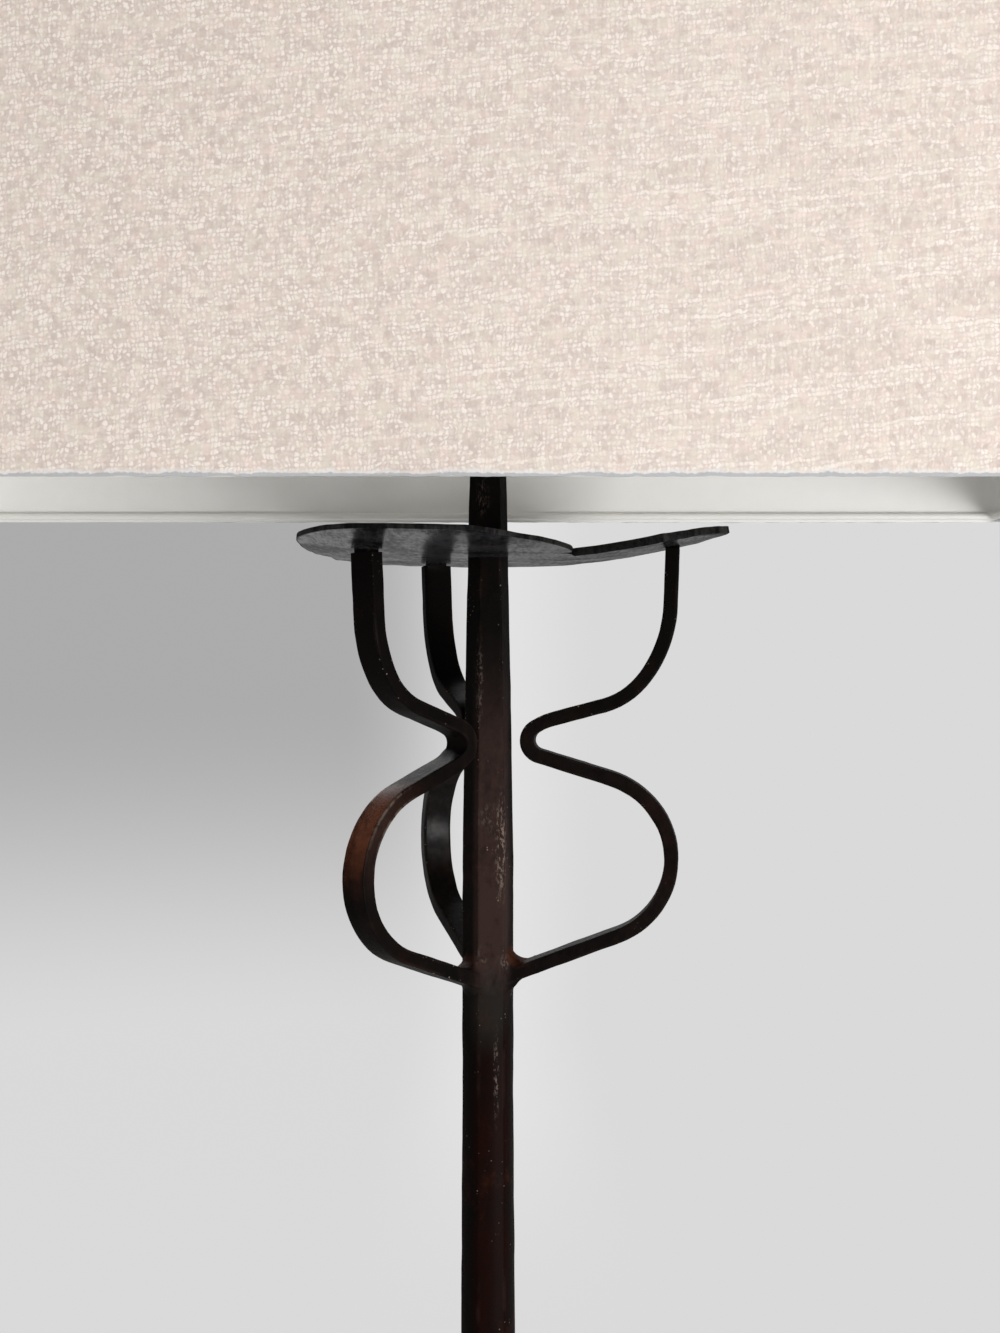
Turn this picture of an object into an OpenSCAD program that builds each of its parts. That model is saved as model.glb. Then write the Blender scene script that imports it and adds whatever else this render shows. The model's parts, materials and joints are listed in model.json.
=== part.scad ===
/* [Stem] */
// Height of the stem's lower end above the floor
stem_foot_z = 140; // [130:1:145]
// Height of the stem's upper end above the floor
stem_top_z = 1255; // [1250:1:1258]
// Diameter of the hole that the cord runs through
stem_bore_d = 10; // [8:0.5:10]
// Turn of the stem's hexagon about its own axis, in degrees
stem_turn = 8; // [0:1:15]

/* [Tray brackets] */
// Width of the flat bar that the brackets are bent from
strap_w = 15; // [14:0.2:16]
// Thickness of that flat bar
strap_t = 7; // [6.8:0.1:7.4]
// Height of the right bracket's weld on the stem
weld_z = 997; // [996:0.5:999]
// Bend radius of the belly's lower part, on the bar's centre line
belly_r = 40.5; // [40:0.5:41]
// Bend radius of the belly's upper part, on the bar's centre line
crown_r = 43.5; // [43:0.5:44]
// Bend radius of the narrow neck, on the bar's centre line
neck_r = 8; // [7.8:0.1:8.2]
// Bend radius above the neck, on the bar's centre line
shoulder_r = 36; // [35.5:0.5:36.5]
// Length of the tenon's visible neck below the tray
tenon_gap = 1.1; // [1:0.1:2]
// Width of the tenon that is riveted over the tray
tenon_w = 10; // [9:0.5:11]

/* [Tray] */
// Height of the tray's underside at the stem
tray_z = 1204.2; // [1203:0.1:1205]
// Thickness of the tray's sheet
tray_t = 2.2; // [2:0.1:3]
// Distance from the stem to the bottom of the notch
notch_r = 65; // [60:1:70]
// Direction of the notch, counted from the right
notch_az = 307; // [302:1:312]

/* [Legs] */
// Width of the flat bar of the legs
leg_w = 22; // [20:1:24]
// Thickness of that bar
leg_t = 9; // [8:0.5:10]
// Height at which the legs meet the stem
leg_z = 175; // [170:1:178]
// Bend radius of a leg's knee
knee_r = 125; // [120:1:128]
// Bend radius of a leg's foot
foot_r = 40; // [35:1:42]
// Length of the flat foot that rests on the floor
foot_l = 16; // [12:1:20]

/* [Lampholder] */
// Outer diameter of the holder's shell
holder_d = 33; // [32:0.5:34]
// Height of the holder, from its cap's floor to its rim
holder_h = 60; // [58:1:62]
// Diameter of the switch's shaft
shaft_d = 3; // [3:0.5:4]

/* [Bulb] */
// Diameter of the glass
bulb_d = 60; // [55:1:60]
// Height of the bulb with its cap
bulb_h = 108; // [106:1:110]

/* [Harp] */
// Diameter of the harp's wire
harp_d = 3.2; // [3:0.1:3.5]
// Distance between the harp's two straight legs
harp_foot_w = 54; // [54:1:56]
// Travel of a locking sleeve
sleeve_travel = 15; // [10:1:15]

/* [Shade] */
// Width of the shade, across the lamp
shade_w = 580; // [560:5:600]
// Depth of the shade, from front to back
shade_d = 250; // [240:5:260]
// Height of the shade
shade_h = 300; // [290:5:310]
// Height of the shade's lower edge above the floor
shade_z = 1232; // [1230:1:1235]
// Radius of the shade's upright corners
shade_corner = 9; // [8:1:12]
// Thickness of the linen with its seam allowance
linen_t = 1.2; // [1:0.1:1.5]
// Thickness of the stiff backing sheet
backing_t = 0.8; // [0.6:0.1:1]
// Diameter of the shade's frame wire
wire_d = 4; // [3:0.5:4.5]

/* [Hidden] */
$fn = 64;

// Height and size across corners of the stem at each station
stem_stations = [
    [stem_foot_z, 34], [840, 27.6], [920, 26.3], [1050, 25.8], [1110, 24.2], [stem_top_z, 18.4]
];

// Bent by hand, the brackets differ: azimuth, rise of the whole bracket, slope at the weld, run to
// the belly, turns of the belly and its crown, run to the neck, turns before, at and after the
// neck, run above it, turn of the shoulder, and lean of the upright end
bracket_right = [-6, 0, 21, 56.5, 107, 35, 36.5, 1, 130, 17, 26, 35, 2];
bracket_rear = [110, 6, 21, 50, 69, 70, 27, 14, 114, 12, 24, 32, 5];
bracket_left = [227, -2, 19.5, 51.3, 85, 55, 31.5, 16, 115, 10, 26.5, 43, 3];
flare_r = 34;
upright_r = 62;
bracket_start_r = 12.5;

leg_azimuths = [0, 120, 240];
leg_rise = 15;
shin_slope = 80;
leg_start_r = 14;

// Azimuth and reach of the leaf's rim, without its notch
leaf_rim = [
    [0, 119], [12, 117], [25, 109], [40, 99], [60, 98], [85, 104], [109, 104], [135, 94],
    [160, 83], [180, 80], [205, 93], [222, 115], [232, 135], [243, 148], [255, 147],
    [265, 142], [285, 132], [310, 121], [335, 121], [360, 119]
];
notch_left_slope = 1.9;
notch_right_slope = 14;
tray_rings = 5;
tray_azimuths = concat(
    [for (a = [8:5:notch_az - 4]) a], [for (a = [notch_az:notch_az + 4]) a],
    [for (a = [notch_az + 6:5:notch_az + 56]) a]
);
// Play between the tray's hexagonal hole and the stem, across corners
tray_play = 0.6;
// Each tenon is riveted over: a cap cut from a ball that is sunk into the sheet
rivet_ball_d = 21;
rivet_sink = 8;
rivet_bite = 0.6;
tenon_root = 0.5;
bracket_weld_d = 16.5;
leg_weld_d = 26;

// Rubber bush of the cord inlet
grommet_hole_d = 7.2;
grommet_lip_w = 3;
grommet_lip_t = 2.5;
grommet_l = 12;

// Stack on top of the stem: washer, harp saddle, nut and lampholder on one threaded nipple
nipple_bore_d = 7;
nipple_below = 22;
nipple_above = 8;
stem_washer_d = 24;
stem_washer_t = 1.5;
saddle_t = 2;
saddle_w = 14;
tongue_w = 5;
tongue_h = 22;
ear_l = 6;
ear_w = 7;
nut_d = 17;
nut_t = 3.5;
saddle_z = stem_top_z + stem_washer_t;
nut_z = saddle_z + saddle_t;
holder_z = nut_z + nut_t;
tongue_x = harp_foot_w / 2 - harp_d / 2 - saddle_t / 2;

// Harp: straight legs that hold the sleeves, a flare, a wide bow and a tight crown
sleeve_h = 12;
sleeve_wall = 1.7;
sleeve_play = 0.3;
harp_run = sleeve_h + sleeve_travel + 3;
harp_flare_r = 40;
harp_flare = 35;
harp_rise = 15;
harp_bow_r = 110;
harp_crown_r = 25;
stud_base_d = 12;
stud_base_h = 4;
stud_d = 6.2;
stud_l = 20;

// Lampholder, in heights above its cap's floor
cap_wall = 1.1;
cap_floor = 2;
cap_cone_h = 7;
cap_h = 20;
cap_shrink = 11;
shell_wall = 0.6;
shell_start = 9;
rim_bead = 0.8;
rim_h = 3;
liner_wall = 0.6;
liner_play = 0.1;
core_start = 14;
core_h = 18;
switch_h = 26;
switch_hole_d = 5;
shaft_play = 0.1;
shaft_start = 6;
shaft_l = 24;
knob_gap = 3;
terminal_x = 9;
terminal_head = [6, 3];
terminal_shank = [4, 4];
set_screw_d = 1.6;
set_screw_l = 5;
contact_wall = 0.6;
holder_r = holder_d / 2;
switch_z = holder_z + switch_h;
socket_floor_z = holder_z + core_start + core_h;

// Bulb, above its foot contact
contact_h = 3;
bulb_z = socket_floor_z + contact_h;
bulb_r = bulb_d / 2;
bulb_cap_h = 25;
neck_glass_r = 13;
glass_t = 0.9;
shoulder_angle = 38;
thread_r = 12.6;
thread_depth = 0.45;
thread_step = 0.55;
neck_z = bulb_z + bulb_cap_h - 3;
globe_z = bulb_z + bulb_h - bulb_r;

// Shade, its wire frame and what holds it on the harp's stud
frame_r = shade_corner - linen_t - backing_t - wire_d / 2;
frame_inset = 1;
weld_gap = 0.02;
spider_washer_d = 24;
spider_washer_t = 2;
hub_d = 16;
hub_hole_d = 10;
hub_h = 3.5;
arm_d = 3;
finial_gap = 0.5;
finial_base = [14, 4];
finial_neck = [7.5, 6];
finial_ball_d = 18;

arc_step = 6;
wire_sides = 10;

// A point that walks along straight runs [length, 0] and bends [radius, turn]
function along(p, h, run) =
    run[1] == 0
    ? [[p[0] + run[0] * cos(h), p[1] + run[0] * sin(h), h]]
    : let (s = sign(run[1]), c = p + run[0] * [-s * sin(h), s * cos(h)],
           n = ceil(abs(run[1]) / arc_step))
      [for (k = [1:n]) let (a = h + run[1] * k / n)
          [c[0] + s * run[0] * sin(a), c[1] - s * run[0] * cos(a), a]];
function walk(p, h, runs, i = 0) =
    i == len(runs) ? [] :
    let (part = along(p, h, runs[i]), last = part[len(part) - 1])
    concat(part, walk([last[0], last[1]], last[2], runs, i + 1));
function centre_line(p, h, runs) = concat([[p[0], p[1], h]], walk(p, h, runs));
function side(line, off) = [for (s = line) [s[0] - off * sin(s[2]), s[1] + off * cos(s[2])]];
function reversed(list) = [for (k = [len(list) - 1:-1:0]) list[k]];

function bracket_line(b) =
    let (weld_slope = b[2], weld_run = b[3], belly = b[4], crown = b[5], low_run = b[6],
         low_flare = b[7], neck = b[8], high_flare = b[9], high_run = b[10], shoulder = b[11],
         lean = b[12],
         last_turn = 90 - lean - weld_slope - belly - crown + low_flare + neck + high_flare - shoulder,
         bent = centre_line([bracket_start_r, weld_z + b[1]], weld_slope, [
             [weld_run, 0], [belly_r, belly], [crown_r, crown], [low_run, 0],
             [flare_r, -low_flare], [neck_r, -neck], [flare_r, -high_flare], [high_run, 0],
             [shoulder_r, shoulder], [upright_r, last_turn]
         ]),
         end = bent[len(bent) - 1],
         rise = tray_z + tray_rise(b[0], end[0]) - tenon_gap - end[1])
    concat(bent, along(end, 90 - lean, [rise / cos(lean), 0]));

function shin_run() =
    let (drop = leg_z + knee_r * (cos(shin_slope) - cos(leg_rise)) - leg_t / 2
             - foot_r * (1 - cos(shin_slope)))
    drop / sin(shin_slope);
function leg_line() = centre_line([leg_start_r, leg_z], leg_rise, [
    [knee_r, -(leg_rise + shin_slope)], [shin_run(), 0], [foot_r, shin_slope], [foot_l, 0]
]);

function stem_d(z) = lookup(z, stem_stations);

// The leaf's rim is a smooth curve through its stations
function rim_slope(i) =
    let (n = len(leaf_rim) - 1, a = leaf_rim[(i + n - 1) % n], b = leaf_rim[(i + 1) % n],
         span = (b[0] - a[0] + 360) % 360)
    (b[1] - a[1]) / span;
function rim_reach(az) =
    let (n = len(leaf_rim) - 1,
         i = max([for (k = [0:n - 1]) if (leaf_rim[k][0] <= az) k]),
         w = leaf_rim[i + 1][0] - leaf_rim[i][0], t = (az - leaf_rim[i][0]) / w,
         m0 = rim_slope(i) * w, m1 = rim_slope((i + 1) % n) * w)
    (2 * pow(t, 3) - 3 * pow(t, 2) + 1) * leaf_rim[i][1]
    + (pow(t, 3) - 2 * pow(t, 2) + t) * m0
    + (3 * pow(t, 2) - 2 * pow(t, 3)) * leaf_rim[i + 1][1]
    + (pow(t, 3) - pow(t, 2)) * m1;
function notch_reach(az) =
    notch_r + (az < notch_az ? (notch_az - az) * notch_left_slope : (az - notch_az) * notch_right_slope);
function leaf_reach(az) =
    let (a = az % 360) a > 180 ? min(rim_reach(a), notch_reach(a)) : rim_reach(a);

// The sheet hangs a little to the front, its front rim is dished, and its right lobe is bent up
function tray_rise(az, r) =
    (0.5 - 1.2 * sin(az)) * pow(r / 92, 3)
    + 0.00145 * pow(max(0, r * cos(az - 4) - 30), 2)
    - 0.02 * r * cos(az - 285);
function hex_reach(az, d) = d / 2 * cos(30) / cos((az - stem_turn + 360) % 60 - 30);

module hexagon_bar(d, z0, z1) {
    translate([0, 0, z0]) rotate(stem_turn) cylinder(d = d, h = z1 - z0, $fn = 6);
}

module bent_bar(line, t, w) {
    rotate([90, 0, 0]) linear_extrude(height = w, center = true)
        polygon(concat(side(line, t / 2), reversed(side(line, -t / 2))));
}

module tube(od, id, z0, z1) {
    translate([0, 0, z0]) difference() {
        cylinder(d = od, h = z1 - z0);
        translate([0, 0, -1]) cylinder(d = id, h = z1 - z0 + 2);
    }
}

module rod(a, b, d) {
    v = b - a;
    translate(a) rotate([0, acos(v[2] / norm(v)), atan2(v[1], v[0])]) cylinder(d = d, h = norm(v), $fn = 32);
}

module rounded_plate(w, d, r) {
    square([w - 2 * r, d], center = true);
    square([w, d - 2 * r], center = true);
    for (x = [-1, 1], y = [-1, 1]) translate([x * (w / 2 - r), y * (d / 2 - r)]) circle(r = r);
}

module stem() {
    n = len(stem_stations);
    points = [for (s = stem_stations, k = [0:5])
        [s[1] / 2 * cos(stem_turn + 60 * k), s[1] / 2 * sin(stem_turn + 60 * k), s[0]]];
    sides = [for (i = [0:n - 2], k = [0:5])
        [6 * i + k, 6 * (i + 1) + k, 6 * (i + 1) + (k + 1) % 6, 6 * i + (k + 1) % 6]];
    ends = [[for (k = [0:5]) k], [for (k = [5:-1:0]) 6 * (n - 1) + k]];
    color([0.16, 0.12, 0.1]) difference() {
        polyhedron(points = points, faces = concat(sides, ends));
        translate([0, 0, stem_foot_z - 1]) cylinder(d = stem_bore_d, h = stem_top_z - stem_foot_z + 2);
    }
}

module cord_grommet() {
    color([0.08, 0.08, 0.08]) {
        tube(stem_bore_d + 2 * grommet_lip_w, grommet_hole_d, stem_foot_z - grommet_lip_t, stem_foot_z);
        tube(stem_bore_d, grommet_hole_d, stem_foot_z, stem_foot_z + grommet_l);
    }
}

module leg(az) {
    color([0.16, 0.12, 0.1]) difference() {
        rotate(az) bent_bar(leg_line(), leg_t, leg_w);
        hexagon_bar(stem_d(leg_z - 6), leg_z - 20, leg_z + 20);
    }
}

module leg_right() { leg(leg_azimuths[0]); }
module leg_rear() { leg(leg_azimuths[1]); }
module leg_front() { leg(leg_azimuths[2]); }

module leg_welds() {
    color([0.2, 0.15, 0.12]) difference() {
        for (az = leg_azimuths)
            rotate(az) translate([stem_d(leg_z) / 2 - 1, 0, leg_z + 1]) sphere(d = leg_weld_d);
        hexagon_bar(stem_d(leg_z - 12), leg_z - 30, leg_z + 30);
        for (az = leg_azimuths) rotate(az) bent_bar(leg_line(), leg_t, leg_w);
    }
}

module tray() {
    n = len(tray_azimuths);
    m = tray_rings;
    hole = stem_d(tray_z) + tray_play;
    top = [for (j = [0:m], a = tray_azimuths)
        let (r = hex_reach(a, hole) + (leaf_reach(a) - hex_reach(a, hole)) * j / m)
        [r * cos(a), r * sin(a), tray_z + tray_rise(a, r) + tray_t]];
    points = concat(top, [for (p = top) p - [0, 0, tray_t]]);
    low = (m + 1) * n;
    faces = [for (i = [0:n - 1], j = [0:m - 1])
        let (a = j * n + i, b = j * n + (i + 1) % n, c = a + n, d = b + n)
        each [[a, b, c], [b, d, c], [low + a, low + c, low + b], [low + b, low + c, low + d]]];
    walls = [for (i = [0:n - 1])
        let (a = i, b = (i + 1) % n, c = m * n + a, d = m * n + b)
        each [[a, low + a, b], [b, low + a, low + b], [c, d, low + c], [d, low + d, low + c]]];
    color([0.2, 0.19, 0.19]) difference() {
        polyhedron(points = points, faces = concat(faces, walls));
        for (b = [bracket_right, bracket_rear, bracket_left]) tenon(b, tray_z + 30);
    }
}

// The strap's end is narrowed to a tenon that passes through the tray
module tenon(b, top_z) {
    line = bracket_line(b);
    end = line[len(line) - 1];
    rotate(b[0]) translate([end[0] - strap_t / 2, -tenon_w / 2, end[1] - tenon_root])
        cube([strap_t, tenon_w, top_z - end[1]]);
}

module bracket(b) {
    line = bracket_line(b);
    end = line[len(line) - 1];
    seat = tray_z + tray_rise(b[0], end[0]) + tray_t;
    color([0.16, 0.12, 0.1]) {
        difference() {
            rotate(b[0]) bent_bar(line, strap_t, strap_w);
            hexagon_bar(stem_d(weld_z - 10), weld_z - 20, weld_z + 20);
        }
        tenon(b, seat + tenon_root);
        rotate(b[0]) translate([end[0], 0, seat - rivet_bite]) intersection() {
            translate([0, 0, -rivet_sink]) sphere(d = rivet_ball_d);
            cylinder(d = rivet_ball_d, h = rivet_ball_d);
        }
    }
}

module tray_bracket_right() { bracket(bracket_right); }
module tray_bracket_rear() { bracket(bracket_rear); }
module tray_bracket_left() { bracket(bracket_left); }

module bracket_welds() {
    color([0.22, 0.15, 0.11]) difference() {
        for (b = [bracket_right, bracket_rear, bracket_left])
            rotate(b[0]) translate([stem_d(weld_z) / 2 + 0.5, 0, weld_z + b[1] + 1]) sphere(d = bracket_weld_d);
        hexagon_bar(stem_d(weld_z - 16), weld_z - 30, weld_z + 30);
        for (b = [bracket_right, bracket_rear, bracket_left])
            rotate(b[0]) bent_bar(bracket_line(b), strap_t, strap_w);
    }
}

module threaded_nipple() {
    color("goldenrod") tube(stem_bore_d, nipple_bore_d, stem_top_z - nipple_below, holder_z + nipple_above);
}

module stem_washer() { color("goldenrod") tube(stem_washer_d, stem_bore_d, stem_top_z, saddle_z); }

// A flat strip with two ears under the harp's legs and two tongues beside them
module harp_saddle() {
    outer = tongue_x + saddle_t / 2;
    color("goldenrod") translate([0, 0, saddle_z]) difference() {
        union() {
            translate([-outer, -saddle_w / 2, 0]) cube([2 * outer, saddle_w, saddle_t]);
            for (s = [-1, 1]) {
                translate([s * tongue_x - saddle_t / 2, -tongue_w / 2, 0]) cube([saddle_t, tongue_w, tongue_h]);
                translate([s * (tongue_x + saddle_t) - ear_l / 2, -ear_w / 2, 0]) cube([ear_l, ear_w, saddle_t]);
            }
        }
        translate([0, 0, -1]) cylinder(d = stem_bore_d, h = saddle_t + 2);
    }
}

module saddle_nut() {
    color("goldenrod") translate([0, 0, nut_z]) difference() {
        cylinder(d = nut_d, h = nut_t, $fn = 6);
        translate([0, 0, -1]) cylinder(d = stem_bore_d, h = nut_t + 2);
    }
}

// The harp's wire: a straight leg, a flare, the bow and the crown, and the same back down
function harp_side() = [[harp_run, 0], [harp_flare_r, -harp_flare], [harp_rise, 0], [harp_bow_r, 2 * harp_flare]];
function harp_last() =
    let (side = centre_line([harp_foot_w / 2, 0], 90, harp_side()), end = side[len(side) - 1])
    (end[0] - harp_crown_r * cos(harp_flare)) / sin(harp_flare);
function harp_line() =
    let (half = concat(harp_side(), [[harp_last(), 0]]))
    centre_line([harp_foot_w / 2, nut_z], 90,
        concat(half, [[harp_crown_r, 180 - 2 * harp_flare]], reversed(half)));

// Round wire swept along a line in the upright plane through the lamp's axis
module wire(line, d) {
    n = wire_sides;
    last = len(line) - 1;
    points = [for (s = line, k = [0:n - 1]) let (b = 360 * k / n)
        [s[0] - d / 2 * cos(b) * sin(s[2]), d / 2 * sin(b), s[1] + d / 2 * cos(b) * cos(s[2])]];
    skin = [for (i = [0:last - 1], k = [0:n - 1])
        let (a = n * i + k, b = n * i + (k + 1) % n)
        each [[a, a + n, b], [b, a + n, b + n]]];
    ends = [[for (k = [0:n - 1]) k], [for (k = [n - 1:-1:0]) n * last + k]];
    polyhedron(points = points, faces = concat(skin, ends));
}

module harp() { color("goldenrod") wire(harp_line(), harp_d); }

crown_z = max([for (s = harp_line()) s[1]]) + harp_d / 2;
washer_z = crown_z + stud_base_h;

// The stud's base is brazed over the crown's wire
module harp_stud() {
    color("goldenrod") {
        translate([0, 0, crown_z - harp_d]) cylinder(d = stud_base_d, h = stud_base_h + harp_d);
        translate([0, 0, washer_z]) cylinder(d = stud_d, h = stud_l);
    }
}

// A sleeve holds a leg of the harp against its tongue until it is slid up
module harp_sleeve(s) {
    hole_w = harp_d + saddle_t + 2 * sleeve_play + 0.8;
    hole_d = tongue_w + 2 * sleeve_play;
    color("goldenrod") translate([s * (tongue_x + harp_d / 2 - 0.1), 0, nut_z + 0.1]) difference() {
        linear_extrude(height = sleeve_h)
            rounded_plate(hole_w + 2 * sleeve_wall, hole_d + 2 * sleeve_wall, 4);
        translate([0, 0, -1]) linear_extrude(height = sleeve_h + 2) rounded_plate(hole_w, hole_d, 0.4);
    }
}

module harp_sleeve_left() { harp_sleeve(-1); }
module harp_sleeve_right() { harp_sleeve(1); }

module holder_cap() {
    color("goldenrod") translate([0, 0, holder_z]) difference() {
        union() {
            cylinder(d1 = holder_d - cap_shrink, d2 = holder_d + 2 * cap_wall, h = cap_cone_h);
            translate([0, 0, cap_cone_h]) cylinder(d = holder_d + 2 * cap_wall, h = cap_h - cap_cone_h);
        }
        translate([0, 0, cap_floor])
            cylinder(d1 = holder_d - cap_shrink - cap_floor, d2 = holder_d, h = cap_cone_h - 1);
        translate([0, 0, cap_cone_h + 1]) cylinder(d = holder_d, h = cap_h);
        translate([0, 0, -1]) cylinder(d = stem_bore_d, h = cap_floor + 3);
        translate([0, 0, cap_floor / 2]) rotate([0, 90, 0]) cylinder(d = set_screw_d, h = holder_d);
    }
}

module cap_screw() {
    color("silver") translate([stem_bore_d / 2 + 0.2, 0, holder_z + cap_floor / 2])
        rotate([0, 90, 0]) cylinder(d = set_screw_d, h = set_screw_l);
}

module switch_hole() {
    translate([0, 0, switch_z]) rotate([90, 0, 0]) cylinder(d = switch_hole_d, h = holder_d);
}

module holder_shell() {
    inner = holder_d - 2 * shell_wall;
    top = holder_z + holder_h;
    color("goldenrod") difference() {
        union() {
            tube(holder_d, inner, holder_z + shell_start, top);
            tube(holder_d + 2 * rim_bead, inner, top - rim_h, top);
        }
        switch_hole();
    }
}

module holder_liner() {
    outer = holder_d - 2 * (shell_wall + liner_play);
    color("tan") difference() {
        tube(outer, outer - 2 * liner_wall, holder_z + shell_start, holder_z + holder_h - rim_h);
        switch_hole();
    }
}

// The moulded core carries the switch's shaft and the two terminals
module holder_core() {
    color("saddlebrown") difference() {
        translate([0, 0, holder_z + core_start]) cylinder(d = holder_d - 3, h = core_h);
        translate([0, 0, holder_z + core_start]) cylinder(d = 8, h = 5);
        translate([0, 0, switch_z]) rotate([90, 0, 0]) cylinder(d = shaft_d + shaft_play, h = holder_d);
        for (x = [-terminal_x, terminal_x])
            translate([x, 0, holder_z + core_start - 1]) cylinder(d = terminal_shank[0], h = terminal_shank[1] + 1);
    }
}

module terminal_screws() {
    z = holder_z + core_start - terminal_head[1];
    color("silver") for (x = [-terminal_x, terminal_x]) translate([x, 0, z]) {
        cylinder(d = terminal_head[0], h = terminal_head[1]);
        translate([0, 0, terminal_head[1]]) cylinder(d = terminal_shank[0], h = terminal_shank[1]);
    }
}

module screw_contact() {
    outer = holder_d - 4.4;
    color("goldenrod") tube(outer, outer - 2 * contact_wall, socket_floor_z, holder_z + holder_h - 4);
}

// A springy strip with a raised middle that the bulb's foot presses
module centre_contact() {
    color("goldenrod") translate([-6, -2.5, socket_floor_z]) {
        cube([12, 5, 0.8]);
        translate([4, 0, 0.8]) cube([4, 5, contact_h - 0.8]);
    }
}

module switch_shaft() {
    color("silver") translate([0, -shaft_start, switch_z]) rotate([90, 0, 0]) cylinder(d = shaft_d, h = shaft_l);
}

// A collar and a flat key that two fingers turn
module switch_knob() {
    start = holder_r + knob_gap;
    color([0.06, 0.05, 0.05]) translate([0, -start, switch_z]) rotate([90, 0, 0]) difference() {
        union() {
            cylinder(d = 9, h = 8);
            translate([-8, -2, 3]) cube([16, 4, 11]);
        }
        translate([0, 0, -1]) cylinder(d = shaft_d, h = shaft_start + shaft_l - start + 1);
    }
}

// Outline of the glass: neck, shoulder and globe
function glass_line(off) =
    let (r = bulb_r - off, a = shoulder_angle, neck = neck_glass_r - off, start = neck_z + 8)
    concat([[neck, neck_z]],
        [for (k = [0:8]) let (t = k / 8, s = 3 * t * t - 2 * t * t * t)
            [neck + (r * cos(a) - neck) * s, start + (globe_z - r * sin(a) - start) * t]],
        [for (k = [1:16]) let (b = -a + (90 + a) * k / 16) [r * cos(b), globe_z + r * sin(b)]]);

module bulb_glass() {
    color([0.95, 0.95, 0.92, 0.6]) rotate_extrude()
        polygon(concat(glass_line(0), reversed(glass_line(glass_t))));
}

// The cap's rolled thread is drawn as plain rings
module bulb_cap() {
    z = bulb_z + 4;
    inner = neck_glass_r - 1.6;
    color("silver") rotate_extrude() polygon(concat(
        [[9, z], [12.3, z + 1]],
        [for (k = [0:27]) [thread_r + thread_depth * sin(k * 90), z + 1.5 + k * thread_step]],
        [[neck_glass_r, neck_z], [inner, neck_z], [inner, z + 2], [9, z + 1.2]]
    ));
}

module bulb_insulator() {
    color([0.1, 0.1, 0.1]) translate([0, 0, bulb_z + 1]) difference() {
        cylinder(d1 = 11, d2 = 18, h = 3);
        translate([0, 0, -1]) cylinder(d = 5, h = 5);
    }
}

module bulb_contact() {
    color("silver") translate([0, 0, bulb_z]) {
        cylinder(d = 8, h = 1);
        cylinder(d = 5, h = 4);
    }
}

// The glass stem inside the bulb, two lead wires and the filament between them
module bulb_filament() {
    color("gray") {
        translate([0, 0, bulb_z + 6]) cylinder(d = 9, h = 28);
        translate([0, 0, neck_z]) cylinder(d = 2 * (neck_glass_r - glass_t) - 0.2, h = 1);
        for (x = [-1, 1]) rod([x * 2.5, 0, neck_z + 12], [x * 13, 0, globe_z], 0.8);
        rod([-13, 0, globe_z], [13, 0, globe_z], 0.8);
    }
}

// A rectangular loop just inside the backing: four straight wires and four bent corners, which
// are butt-welded with a hair's gap between them
module frame_loop(z) {
    w = shade_w - 2 * (linen_t + backing_t) - wire_d;
    d = shade_d - 2 * (linen_t + backing_t) - wire_d;
    x = w / 2 - frame_r;
    y = d / 2 - frame_r;
    for (s = [-1, 1]) {
        rod([-x + weld_gap, s * d / 2, z], [x - weld_gap, s * d / 2, z], wire_d);
        rod([s * w / 2, -y + weld_gap, z], [s * w / 2, y - weld_gap, z], wire_d);
    }
    for (q = [0:3]) {
        sx = q == 0 || q == 3 ? 1 : -1;
        sy = q < 2 ? 1 : -1;
        translate([sx * x, sy * y, z]) rotate(90 * q)
            rotate_extrude(angle = 90) translate([frame_r, 0]) circle(d = wire_d, $fn = 32);
    }
}

lower_wire_z = shade_z + frame_inset + wire_d / 2;
upper_wire_z = shade_z + shade_h - frame_inset - wire_d / 2;

module shade_lower_frame() { color("white") frame_loop(lower_wire_z); }
module shade_upper_frame() { color("white") frame_loop(upper_wire_z); }

module spider_washer() {
    color("goldenrod") tube(spider_washer_d, stud_d + 0.1, washer_z, washer_z + spider_washer_t);
}

// Four arms rise from the hub and are welded into the upper wire
module shade_spider() {
    hub_z = washer_z + spider_washer_t;
    z = hub_z + hub_h / 2;
    out = linen_t + backing_t + wire_d / 2;
    color("white") {
        tube(hub_d, hub_hole_d, hub_z, hub_z + hub_h);
        for (s = [-1, 1]) {
            rod([s * 7, 0, z], [s * (shade_w / 2 - out), 0, upper_wire_z], arm_d);
            rod([0, s * 7, z], [0, s * (shade_d / 2 - out), upper_wire_z], arm_d);
        }
    }
}

module shade_skin(out, t) {
    translate([0, 0, shade_z]) linear_extrude(height = shade_h) difference() {
        rounded_plate(shade_w - 2 * out, shade_d - 2 * out, shade_corner - out);
        rounded_plate(shade_w - 2 * (out + t), shade_d - 2 * (out + t), shade_corner - out - t);
    }
}

module shade_backing() { color("white") shade_skin(linen_t, backing_t); }
module shade_linen() { color([0.9, 0.85, 0.8]) shade_skin(0, linen_t); }

// A disc, a neck and a ball, forged like the stem
module finial() {
    z = washer_z + spider_washer_t + hub_h + finial_gap;
    ball_z = finial_base[1] + finial_neck[1] + 7;
    color([0.16, 0.12, 0.1]) translate([0, 0, z]) difference() {
        union() {
            cylinder(d = finial_base[0], h = finial_base[1]);
            translate([0, 0, finial_base[1]]) cylinder(d = finial_neck[0], h = finial_neck[1]);
            translate([0, 0, ball_z]) sphere(d = finial_ball_d);
        }
        translate([0, 0, -1]) cylinder(d = stud_d, h = stud_l);
    }
}

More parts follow.
